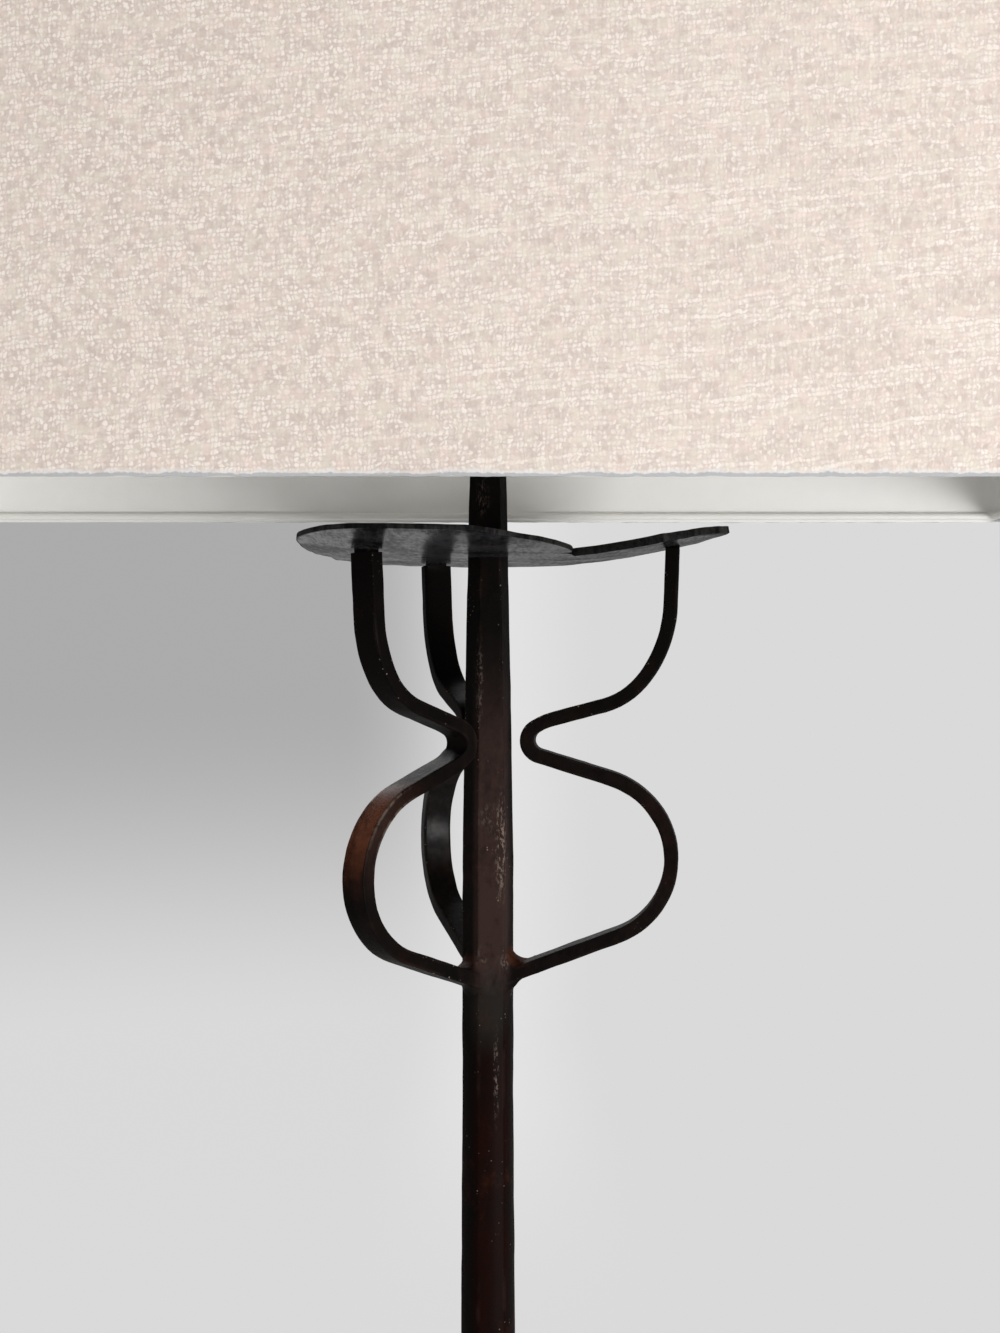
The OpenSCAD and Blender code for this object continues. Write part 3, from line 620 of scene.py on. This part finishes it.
def dress(piece, body, slot, replaced, angle=35):
    pick(piece)
    bpy.ops.object.shade_smooth_by_angle(angle=math.radians(angle))
    piece.data.materials.clear()
    piece.data.materials.append(finishes[slot])
    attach(piece, body)
    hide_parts(*replaced)


# Stem: a forged hexagonal bar that tapers through these stations of height and size across corners
stem = {
    "stations": [(140, 34), (840, 27.6), (920, 26.3), (1050, 25.8), (1110, 24.2), (1255, 18.4)],
    "turn": 8,
    "bore": 5 * mm,
    "edgeRadius": 1.2 * mm,
    "roundBelow": (1.01, 0.96),
    "roundness": 0.5,
    "stride": 5,
}


def stemSize(height):
    rows = stem["stations"]
    for (low, first), (high, last) in zip(rows, rows[1:]):
        if height <= high:
            return (first + (last - first) * (height - low) / (high - low)) * mm
    return rows[-1][1] * mm


def makeStem():
    bottom, size = stem["stations"][0]
    top = stem["stations"][-1][0]
    turns = [math.radians(stem["turn"] + 60 * k) for k in range(6)]
    corners = [(size * mm / 2 * math.cos(t), size * mm / 2 * math.sin(t)) for t in turns]
    arcs = barOutline(corners, stem["edgeRadius"], 1.5 * mm, rounds=3)
    outline = []
    for i, point in enumerate(arcs):
        outline.append(point)
        onward = arcs[(i + 1) % len(arcs)]
        if math.dist(point[:2], onward[:2]) > 5 * mm:
            for share in (0.25, 0.5, 0.75):
                outline.append((*Vector(point[:2]).lerp(Vector(onward[:2]), share), 0.0))
    bar = startBar("stemBar", outline, (0, 0, bottom * mm), 0)
    bpy.ops.object.mode_set(mode="OBJECT")
    for vertex, (x, y, mark) in zip(bar.data.vertices, outline):
        vertex.co = Vector((x, y, bottom * mm))
    bpy.ops.object.mode_set(mode="EDIT")
    count = round((top - bottom) / stem["stride"])
    rise = (top - bottom) / count
    for k in range(count):
        low = bottom + rise * k
        scale = stemSize(low + rise) / stemSize(low)
        bpy.ops.mesh.extrude_region_move(TRANSFORM_OT_translate={"value": (0, 0, rise * mm)})
        bpy.ops.transform.resize(value=(scale, scale, 1), center_override=(0, 0, 0))
    tidySkin(bar)
    high, low = stem["roundBelow"]
    for vertex in bar.data.vertices:
        x, y, z = vertex.co
        share = stem["roundness"] * min(1, max(0, (high - z) / (high - low)))
        radius = stemSize(z / mm) / 2 * 0.97
        pull = 1 + share * (radius / max(math.hypot(x, y), mm) - 1)
        if math.hypot(x, y) > stem["bore"]:
            vertex.co = Vector((x * pull, y * pull, z))
    forge(bar, 0.15 * mm, 30 * mm, 1)
    forge(bar, 0.07 * mm, 9 * mm, 2)
    leaveEditMode()
    middle = (0, 0, (top + bottom) / 2 * mm)
    bpy.ops.mesh.primitive_cylinder_add(vertices=32, radius=stem["bore"], depth=2, location=middle)
    drill = bpy.context.object
    apply(bar, "BOOLEAN", object=drill, operation="DIFFERENCE", solver="EXACT")
    bpy.data.objects.remove(drill)
    dress(bar, "stand", "forged_iron", ["stem"])


makeStem()
print("stem is made")

# Tray: a thin leaf with one notch; its rim is given by azimuth and reach
tray = {
    "low": 1204.2,
    "thick": 2.2,
    "rim": [
        (0, 119), (12, 117), (25, 109), (40, 99), (60, 98), (85, 104), (109, 104), (135, 94),
        (160, 83), (180, 80), (205, 93), (222, 115), (232, 135), (243, 148), (255, 147),
        (265, 142), (285, 132), (310, 121), (335, 121), (360, 119),
    ],
    "notchAzimuth": 307,
    "notchReach": 65,
    "notchSlopes": (1.9, 14),
    "holePlay": 0.6,
    "rings": 16,
    "rimRound": 0.5 * mm,
    "lobe": (307.2, 372),
    "upset": (1.0 * mm, 1.7 * mm),
    "upsetReach": 3.5 * mm,
}


def rimReach(azimuth):
    rim = tray["rim"]
    last = len(rim) - 1

    def slope(i):
        before, after = rim[(i - 1) % last], rim[(i + 1) % last]
        return (after[1] - before[1]) / ((after[0] - before[0]) % 360)

    i = max(k for k in range(last) if rim[k][0] <= azimuth)
    width = rim[i + 1][0] - rim[i][0]
    t = (azimuth - rim[i][0]) / width
    rise = (2 * t**3 - 3 * t**2 + 1) * rim[i][1] + (3 * t**2 - 2 * t**3) * rim[i + 1][1]
    return rise + width * ((t**3 - 2 * t**2 + t) * slope(i) + (t**3 - t**2) * slope((i + 1) % last))


def leafReach(azimuth):
    reach = rimReach(azimuth)
    if azimuth <= 180:
        return reach
    off = azimuth - tray["notchAzimuth"]
    slope = tray["notchSlopes"][0 if off < 0 else 1]
    return min(reach, tray["notchReach"] + abs(off) * slope)


def trayRise(azimuth, r):
    def tilt(turn):
        return math.cos(math.radians(azimuth - turn))

    dish = (0.5 - 1.2 * math.sin(math.radians(azimuth))) * (r / 92) ** 3
    return dish + 0.00145 * max(0, r * tilt(4) - 30) ** 2 - 0.02 * r * tilt(285)


# Brackets: three lengths of one flat bar, each bent a little differently by hand
bracket = {
    "thick": 7,
    "wide": 15,
    "edgeRadius": 0.75,
    "weldReach": 11.2,
    "weldHeight": 997,
    "bellyRadius": 40.5,
    "crownRadius": 43.5,
    "flareRadius": 34,
    "neckRadius": 8,
    "shoulderRadius": 36,
    "uprightRadius": 62,
    "tenonGap": 1.1,
    "tenonWide": 10,
    "tenonLong": 5.6,
    "rivetBall": 10.5,
    "rivetSink": 8.6,
    "stride": 3.5,
}
# azimuth, rise, slope at the weld, run to the belly, turns of belly and crown, run to the neck,
# turns before, at and after the neck, run above it, turn of the shoulder, lean of the upright end
bracketBends = {
    "tray_bracket_right": (-6, 0, 21, 56.5, 107, 35, 36.5, 1, 130, 17, 26, 35, 2),
    "tray_bracket_rear": (110, 6, 21, 50, 69, 70, 27, 14, 114, 12, 24, 32, 5),
    "tray_bracket_left": (227, -2, 19.5, 51.3, 85, 55, 31.5, 16, 115, 10, 26.5, 43, 3),
}


def flatBar(thick, wide, radius):
    corners = [(-thick / 2, -wide / 2), (thick / 2, -wide / 2), (thick / 2, wide / 2), (-thick / 2, wide / 2)]
    return barOutline([(a * mm, b * mm) for a, b in corners], radius * mm, 0.9 * mm)


def makeBracket(name, seed):
    azimuth, rise, slope, weldRun, belly, crown, lowRun, lowFlare, neck, highFlare, highRun, shoulder, lean = (
        bracketBends[name]
    )
    lastTurn = 90 - lean - slope - belly - crown + lowFlare + neck + highFlare - shoulder
    heading = math.radians(slope)
    # the CAD path starts at a reach of 12.5, so this one starts as much lower as it starts nearer
    sunk = 12.5 - bracket["weldReach"]
    start = bracket["weldReach"] * mm, (bracket["weldHeight"] + rise - sunk * math.tan(heading)) * mm
    runs = [
        (weldRun + sunk / math.cos(heading), 0),
        (bracket["bellyRadius"], belly),
        (bracket["crownRadius"], crown),
        (lowRun, 0),
        (bracket["flareRadius"], -lowFlare),
        (bracket["neckRadius"], -neck),
        (bracket["flareRadius"], -highFlare),
        (highRun, 0),
        (bracket["shoulderRadius"], shoulder),
        (bracket["uprightRadius"], lastTurn),
    ]
    outline = flatBar(bracket["thick"], bracket["wide"], bracket["edgeRadius"])
    bar = startBar(name + "Bar", outline, (start[0], 0, start[1]), heading)
    end, heading = walkBar(start, heading, [(a * mm, b) for a, b in runs], bracket["stride"] * mm)
    top = tray["low"] + trayRise(azimuth, end[0] / mm) - bracket["tenonGap"]
    last = (top * mm - end[1]) / math.sin(heading)
    end, heading = walkBar(end, heading, [(last, 0)], bracket["stride"] * mm)
    # square shoulders, then the tenon that goes through the tray
    narrow = bracket["tenonWide"] / bracket["wide"]
    bpy.ops.mesh.extrude_region_move(TRANSFORM_OT_translate={"value": (0, 0, 0.0001)})
    bpy.ops.transform.resize(value=(1, narrow, 1), center_override=(end[0], 0, end[1]))
    bpy.ops.mesh.extrude_region_move(TRANSFORM_OT_translate={"value": (0, 0, bracket["tenonLong"] * mm)})
    tidySkin(bar)
    forge(bar, 0.13 * mm, 17 * mm, seed)
    forge(bar, 0.06 * mm, 6 * mm, seed + 1)
    leaveEditMode()
    top = nodes[name].data.vertices
    seat = max(v.co.z for v in top) - (bracket["rivetBall"] - bracket["rivetSink"]) * mm
    middle = (end[0], 0, seat - bracket["rivetSink"] * mm)
    bpy.ops.mesh.primitive_uv_sphere_add(segments=28, ring_count=20, radius=bracket["rivetBall"] * mm, location=middle)
    head = bpy.context.object
    bpy.ops.object.transform_apply(location=True)
    bpy.ops.object.mode_set(mode="EDIT")
    bpy.ops.mesh.select_all(action="SELECT")
    bpy.ops.mesh.bisect(plane_co=(0, 0, seat - 0.6 * mm), plane_no=(0, 0, 1), use_fill=True, clear_inner=True)
    tidySkin(head)
    forge(head, 0.35 * mm, 4 * mm, seed + 2)
    joinPieces(bar, [head])
    bar.data.transform(Matrix.Rotation(math.radians(azimuth), 4, "Z"))
    dress(bar, "stand", "forged_iron", [name])


for number, name in enumerate(bracketBends):
    makeBracket(name, 10 + 5 * number)
print("brackets are bent")

# Legs: three lengths of a heavier bar
leg = {
    "thick": 9,
    "wide": 22,
    "edgeRadius": 1.4,
    "start": (12.8, 174.7),
    "rise": 15,
    "kneeRadius": 125,
    "shinSlope": 80,
    "footRadius": 40,
    "footLong": 15.7,
    "stride": 5,
}


def makeLeg(name, azimuth, seed):
    rise, slope = math.radians(leg["rise"]), math.radians(leg["shinSlope"])
    joint = 175 + leg["kneeRadius"] * (math.cos(slope) - math.cos(rise))
    drop = joint - leg["thick"] / 2 - leg["footRadius"] * (1 - math.cos(slope))
    runs = [
        (1.24, 0),
        (leg["kneeRadius"], -(leg["rise"] + leg["shinSlope"])),
        (drop / math.sin(slope), 0),
        (leg["footRadius"], leg["shinSlope"]),
        (leg["footLong"], 0),
    ]
    start = leg["start"][0] * mm, leg["start"][1] * mm
    outline = flatBar(leg["thick"], leg["wide"], leg["edgeRadius"])
    bar = startBar(name + "Bar", outline, (start[0], 0, start[1]), rise)
    walkBar(start, rise, [(a * mm, b) for a, b in runs], leg["stride"] * mm)
    tidySkin(bar)
    forge(bar, 0.16 * mm, 24 * mm, seed)
    forge(bar, 0.08 * mm, 8 * mm, seed + 1)
    lowest = min(v.co.z for v in bar.data.vertices)
    for vertex in bar.data.vertices:
        vertex.co.z = max(vertex.co.z, 0) if lowest < 0 else vertex.co.z
    bar.data.transform(Matrix.Rotation(math.radians(azimuth), 4, "Z"))
    dress(bar, "stand", "forged_iron", [name])


for number, (name, azimuth) in enumerate((("leg_right", 0), ("leg_rear", 120), ("leg_front", 240))):
    makeLeg(name, azimuth, 40 + 5 * number)
print("legs are bent")


# Welds: where bars meet the stem, the metal has run into smooth fillets
weld = {
    "voxel": 0.75 * mm,
    "proud": 0.10 * mm,
    "sunk": 0.80,
    "inside": 6 * mm,
    "flatness": 0.6,
    "drops": (3.9, 3.1, 2.6),
    "legDrop": 6.5,
    "bracket": {"sleeve": (14, 17, 14), "stub": 14, "fill": 6.9, "slack": 0.4},
    "leg": {"sleeve": (16, 24, 14), "stub": 15, "fill": 6.5, "slack": 0.6},
}


def makeFillets(name, replaced, height, spots, bar, kind, knee, seed):
    # a sleeve round the stem and a stub in each bar, whose corners are then filled in
    size = weld[kind]
    radius = stemSize(height / mm) / 2
    low, middle, high = [part * mm for part in size["sleeve"]]
    leaveEditMode()
    bottom = (0, 0, height - low - middle / 2)
    bpy.ops.mesh.primitive_circle_add(vertices=24, radius=radius * weld["sunk"], fill_type="NGON", location=bottom)
    sleeve = bpy.context.object
    bpy.ops.object.transform_apply(location=True)
    for vertex in sleeve.data.vertices:
        # between a circle and the stem's hexagon
        off = (math.degrees(math.atan2(vertex.co.y, vertex.co.x)) - stem["turn"]) % 60 - 30
        flat = math.cos(math.radians(30)) / math.cos(math.radians(off))
        pull = 1 - weld["flatness"] * (1 - flat)
        vertex.co = Vector((vertex.co.x * pull, vertex.co.y * pull, vertex.co.z))
    bpy.ops.object.mode_set(mode="EDIT")
    bpy.ops.mesh.select_all(action="SELECT")
    grow = (radius + weld["proud"]) / (radius * weld["sunk"])
    for rise, scale in ((low, grow), (middle, 1.0), (high, 1 / grow)):
        bpy.ops.mesh.extrude_region_move(TRANSFORM_OT_translate={"value": (0, 0, rise)})
        bpy.ops.transform.resize(value=(scale, scale, 1), center_override=(0, 0, 0))
    leaveEditMode()
    parts = [sleeve]
    thick, wide = bar["thick"] - size["slack"], bar["wide"] - size["slack"]
    for azimuth, reach, rise, slope, drop in spots:
        turn = Matrix.Rotation(math.radians(azimuth), 4, "Z")
        heading = math.radians(slope)
        start = (weld["inside"], height + rise - (reach - weld["inside"]) * math.tan(heading))
        stub = startBar(name + "Stub", flatBar(thick, wide, bar["edgeRadius"]), (start[0], 0, start[1]), heading)
        inner = (reach - weld["inside"]) / math.cos(heading)
        runs = [(inner, 0), (knee, -math.degrees(size["stub"] * mm / knee))] if knee else [(inner + size["stub"] * mm, 0)]
        walkBar(start, heading, runs, 3 * mm)
        leaveEditMode()
        stub.data.attributes.remove(stub.data.attributes["edge"])
        stub.data.transform(turn)
        parts.append(stub)
        for share in (-0.32, 0, 0.32):
            spot = Vector((radius - 1.6 * mm, share * wide * mm, height + rise - drop + 0.8 * mm))
            bpy.ops.mesh.primitive_ico_sphere_add(subdivisions=3, radius=drop, location=turn @ spot)
            parts.append(bpy.context.object)
            bpy.ops.object.transform_apply(location=True)
            leaveEditMode()
    joinPieces(sleeve, parts[1:])
    sleeve.name = name
    # swollen and shrunk by the same amount, the inner corners keep a round
    for swell in (size["fill"] * mm, -size["fill"] * mm):
        apply(sleeve, "REMESH", mode="VOXEL", voxel_size=weld["voxel"])
        apply(sleeve, "DISPLACE", strength=swell, mid_level=0)
    apply(sleeve, "REMESH", mode="VOXEL", voxel_size=weld["voxel"])
    apply(sleeve, "SMOOTH", factor=0.5, iterations=8)
    forge(sleeve, 0.28 * mm, 6 * mm, seed)
    forge(sleeve, 0.10 * mm, 2.6 * mm, seed + 1)
    dress(sleeve, "stand", "forged_iron", [replaced], 80)


bracketSpots = []
for (azimuth, rise, slope, *others), drop in zip(bracketBends.values(), weld["drops"]):
    bracketSpots.append((azimuth, 12.5 * mm, rise * mm, slope, drop * mm))
makeFillets("bracketFillets", "bracket_welds", bracket["weldHeight"] * mm, bracketSpots, bracket, "bracket", 0, 71)
legSpots = [(azimuth, 14 * mm, 0, leg["rise"], weld["legDrop"] * mm) for azimuth in (0, 120, 240)]
makeFillets("legFillets", "leg_welds", 175 * mm, legSpots, leg, "leg", leg["kneeRadius"] * mm, 83)
print("welds are laid")


def makeTray():
    start = tray["notchAzimuth"] - 3
    azimuths = [start + 0.25 * k for k in range(36)] + [start + 9 + 1.5 * k for k in range(234)]
    azimuths = [a % 360 for a in azimuths]
    leaveEditMode()
    bpy.ops.mesh.primitive_circle_add(vertices=len(azimuths), radius=0.1, fill_type="NOTHING")
    sheet = bpy.context.object
    sheet.name = "trayLeaf"
    sheet.data.attributes.new("edge", "FLOAT", "POINT")
    hole = stemSize(tray["low"]) / mm / 2 + tray["holePlay"] / 2

    def place(azimuth, share):
        bore = hole * math.cos(math.radians(30))
        bore /= math.cos(math.radians((azimuth - stem["turn"]) % 60 - 30))
        r = bore + (leafReach(azimuth) - bore) * share
        t = math.radians(azimuth)
        return Vector((r * math.cos(t), r * math.sin(t), tray["low"] + trayRise(azimuth, r))) * mm

    shares = [1, 0.988] + [1 - k / tray["rings"] for k in range(1, tray["rings"] + 1)]
    for number, share in enumerate(shares):
        if number:
            bpy.ops.object.mode_set(mode="EDIT")
            bpy.ops.mesh.select_all(action="DESELECT")
            bpy.ops.object.mode_set(mode="OBJECT")
            for vertex in sheet.data.vertices[-len(azimuths):]:
                vertex.select = True
            bpy.ops.object.mode_set(mode="EDIT")
            bpy.ops.mesh.extrude_edges_move(TRANSFORM_OT_translate={"value": (0, 0, 0)})
            bpy.ops.object.mode_set(mode="OBJECT")
        edge = sheet.data.attributes["edge"]
        for vertex, azimuth in zip(sheet.data.vertices[-len(azimuths):], azimuths):
            vertex.co = place(azimuth, share)
            edge.data[vertex.index].value = 1.0 if number == 0 else 0.0
    tidySkin(sheet)
    if sheet.data.polygons[0].normal.z < 0:
        sheet.data.flip_normals()
    forge(sheet, 0.30 * mm, 30 * mm, 5)
    forge(sheet, 0.10 * mm, 9 * mm, 6)
    apply(sheet, "SOLIDIFY", thickness=tray["thick"] * mm, offset=1)
    # the right lobe's rim was struck on its edge, which has thickened it, most along the notch; the underside beside it
    # is marked as edge, which makes it a painted shadow band, darker and with less coat
    first, last = tray["lobe"]
    turns = [first + 0.05 * k for k in range(90)] + [first + 4.5 + 0.5 * k for k in range(120)]
    rim = [place(turn % 360, 1).xy for turn in turns]
    up, down = tray["upset"]
    edge = sheet.data.attributes["edge"].data
    normals = [vertex.normal.copy() for vertex in sheet.data.vertices]
    for vertex, normal in zip(sheet.data.vertices, normals):
        azimuth = math.degrees(math.atan2(vertex.co.y, vertex.co.x)) % 360
        azimuth += 360 if azimuth < first - 180 else 0
        if not first - 1 < azimuth < last:
            continue
        away = min((vertex.co.xy - point).length for point in rim)
        rimward = max(0, 1 - away / tray["upsetReach"])
        fade = min(1, (last - azimuth) / 25)
        if normal.z > 0:
            vertex.co.z += up * rimward * fade * max(0, min(1, (azimuth - 309) / 14))
        else:
            vertex.co.z -= down * rimward * fade * max(0.25, min(1, 1 - (azimuth - 311) / 20))
            edge[vertex.index].value = max(edge[vertex.index].value, min(1, rimward * 1.6) * fade)
    apply(sheet, "BEVEL", width=tray["rimRound"], segments=2, limit_method="ANGLE", angle_limit=math.radians(50))
    dress(sheet, "stand", "tray_iron", ["tray"])


makeTray()
print("tray is made")

# Harp: one round wire
harp = {
    "radius": 1.6,
    "foot": (27, 1258.5),
    "leg": 30,
    "flareRadius": 40,
    "flare": 35,
    "rise": 15,
    "bowRadius": 110,
    "crownRadius": 25,
    "stride": 4,
}


def makeHarp():
    flare = math.radians(harp["flare"])
    side = [(harp["leg"], 0), (harp["flareRadius"], -harp["flare"]), (harp["rise"], 0)]
    side.append((harp["bowRadius"], 2 * harp["flare"]))
    # half the width that is left where the bow ends, less the crown, gives the last straight run
    x = harp["foot"][0] + harp["flareRadius"] * (1 - math.cos(flare)) + harp["rise"] * math.sin(flare)
    last = (x - harp["crownRadius"] * math.cos(flare)) / math.sin(flare)
    crown = (harp["crownRadius"], 180 - 2 * harp["flare"])
    runs = side + [(last, 0), crown, (last, 0)] + side[::-1]
    start = harp["foot"][0] * mm, harp["foot"][1] * mm
    outline = roundOutline(harp["radius"] * mm, 14)
    wire = startBar("harpWire", outline, (start[0], 0, start[1]), math.pi / 2)
    walkBar(start, math.pi / 2, [(a * mm, b) for a, b in runs], harp["stride"] * mm)
    tidySkin(wire)
    dress(wire, "stand", "brass", ["harp"])


makeHarp()
print("harp is bent")

# Linen: one strip wrapped round the shade, overlapped by a seam at the middle of the back
shade = {
    "wide": 580 * mm,
    "deep": 250 * mm,
    "tall": 300 * mm,
    "low": 1232 * mm,
    "corner": 9 * mm,
    "thick": 1.1 * mm,
    "overlap": 14 * mm,
    "mesh": 4 * mm,
    "ragged": 0.5 * mm,
}


def shadeLine(s):
    # the point and outward direction at a distance along the shade's rim, from the middle of its back
    w, d, r = shade["wide"] / 2 - shade["corner"], shade["deep"] / 2 - shade["corner"], shade["corner"]
    bend = math.pi / 2 * r
    runs = [(w, 0), (bend, 1), (2 * d, 0), (bend, 1), (2 * w, 0), (bend, 1), (2 * d, 0), (bend, 1), (w, 0)]
    x, y, heading = 0.0, shade["deep"] / 2, math.pi
    s = s % sum(length for length, bent in runs)
    for length, bent in runs:
        part = min(s, length)
        if bent:
            turn = part / r
            x += r * (math.sin(heading + turn) - math.sin(heading))
            y -= r * (math.cos(heading + turn) - math.cos(heading))
            heading += turn
        else:
            x += part * math.cos(heading)
            y += part * math.sin(heading)
        s -= part
        if s <= 0:
            break
    return Vector((x, y, 0)), Vector((math.sin(heading), -math.cos(heading), 0))


def shadeGirth():
    straight = 2 * (shade["wide"] + shade["deep"] - 4 * shade["corner"])
    return straight + 2 * math.pi * shade["corner"]


def makeLinen():
    girth = shadeGirth() + shade["overlap"]
    columns, rows = round(girth / shade["mesh"]), round(shade["tall"] / shade["mesh"])
    leaveEditMode()
    bpy.ops.mesh.primitive_grid_add(x_subdivisions=columns, y_subdivisions=rows, size=1)
    cloth = bpy.context.object
    cloth.name = "linenSkin"
    cut = cloth.data.uv_layers.new(name="cloth")
    for loop in cloth.data.loops:
        flat = cloth.data.vertices[loop.vertex_index].co
        cut.data[loop.index].uv = ((flat.x + 0.5) * girth, (flat.y + 0.5) * shade["tall"])
    for vertex in cloth.data.vertices:
        along, up = (vertex.co.x + 0.5) * girth, (vertex.co.y + 0.5) * shade["tall"]
        place, out = shadeLine(along)
        lap = min(1, max(0, (along - (girth - shade["overlap"] - 2 * mm)) / (2 * mm)))
        swell = noise.noise(Vector((along * 25, up * 25, 3))) * 0.15 * mm
        frayed = noise.noise(Vector((along * 70, 0, 7))) + 0.6 * noise.noise(Vector((along * 190, 0, 9)))
        edge = max(0, 1 - up / (2 * shade["mesh"])) + max(0, 1 - (shade["tall"] - up) / (2 * shade["mesh"]))
        vertex.co = place + out * (swell + lap * shade["thick"])
        vertex.co.z = shade["low"] + up + frayed * shade["ragged"] * edge
    if cloth.data.polygons[0].normal.dot(shadeLine(0.002)[1]) < 0:
        cloth.data.flip_normals()
    apply(cloth, "SOLIDIFY", thickness=shade["thick"], offset=-1)
    dress(cloth, "shade", "linen", ["shade_linen"], 60)


makeLinen()
print("linen is wrapped")
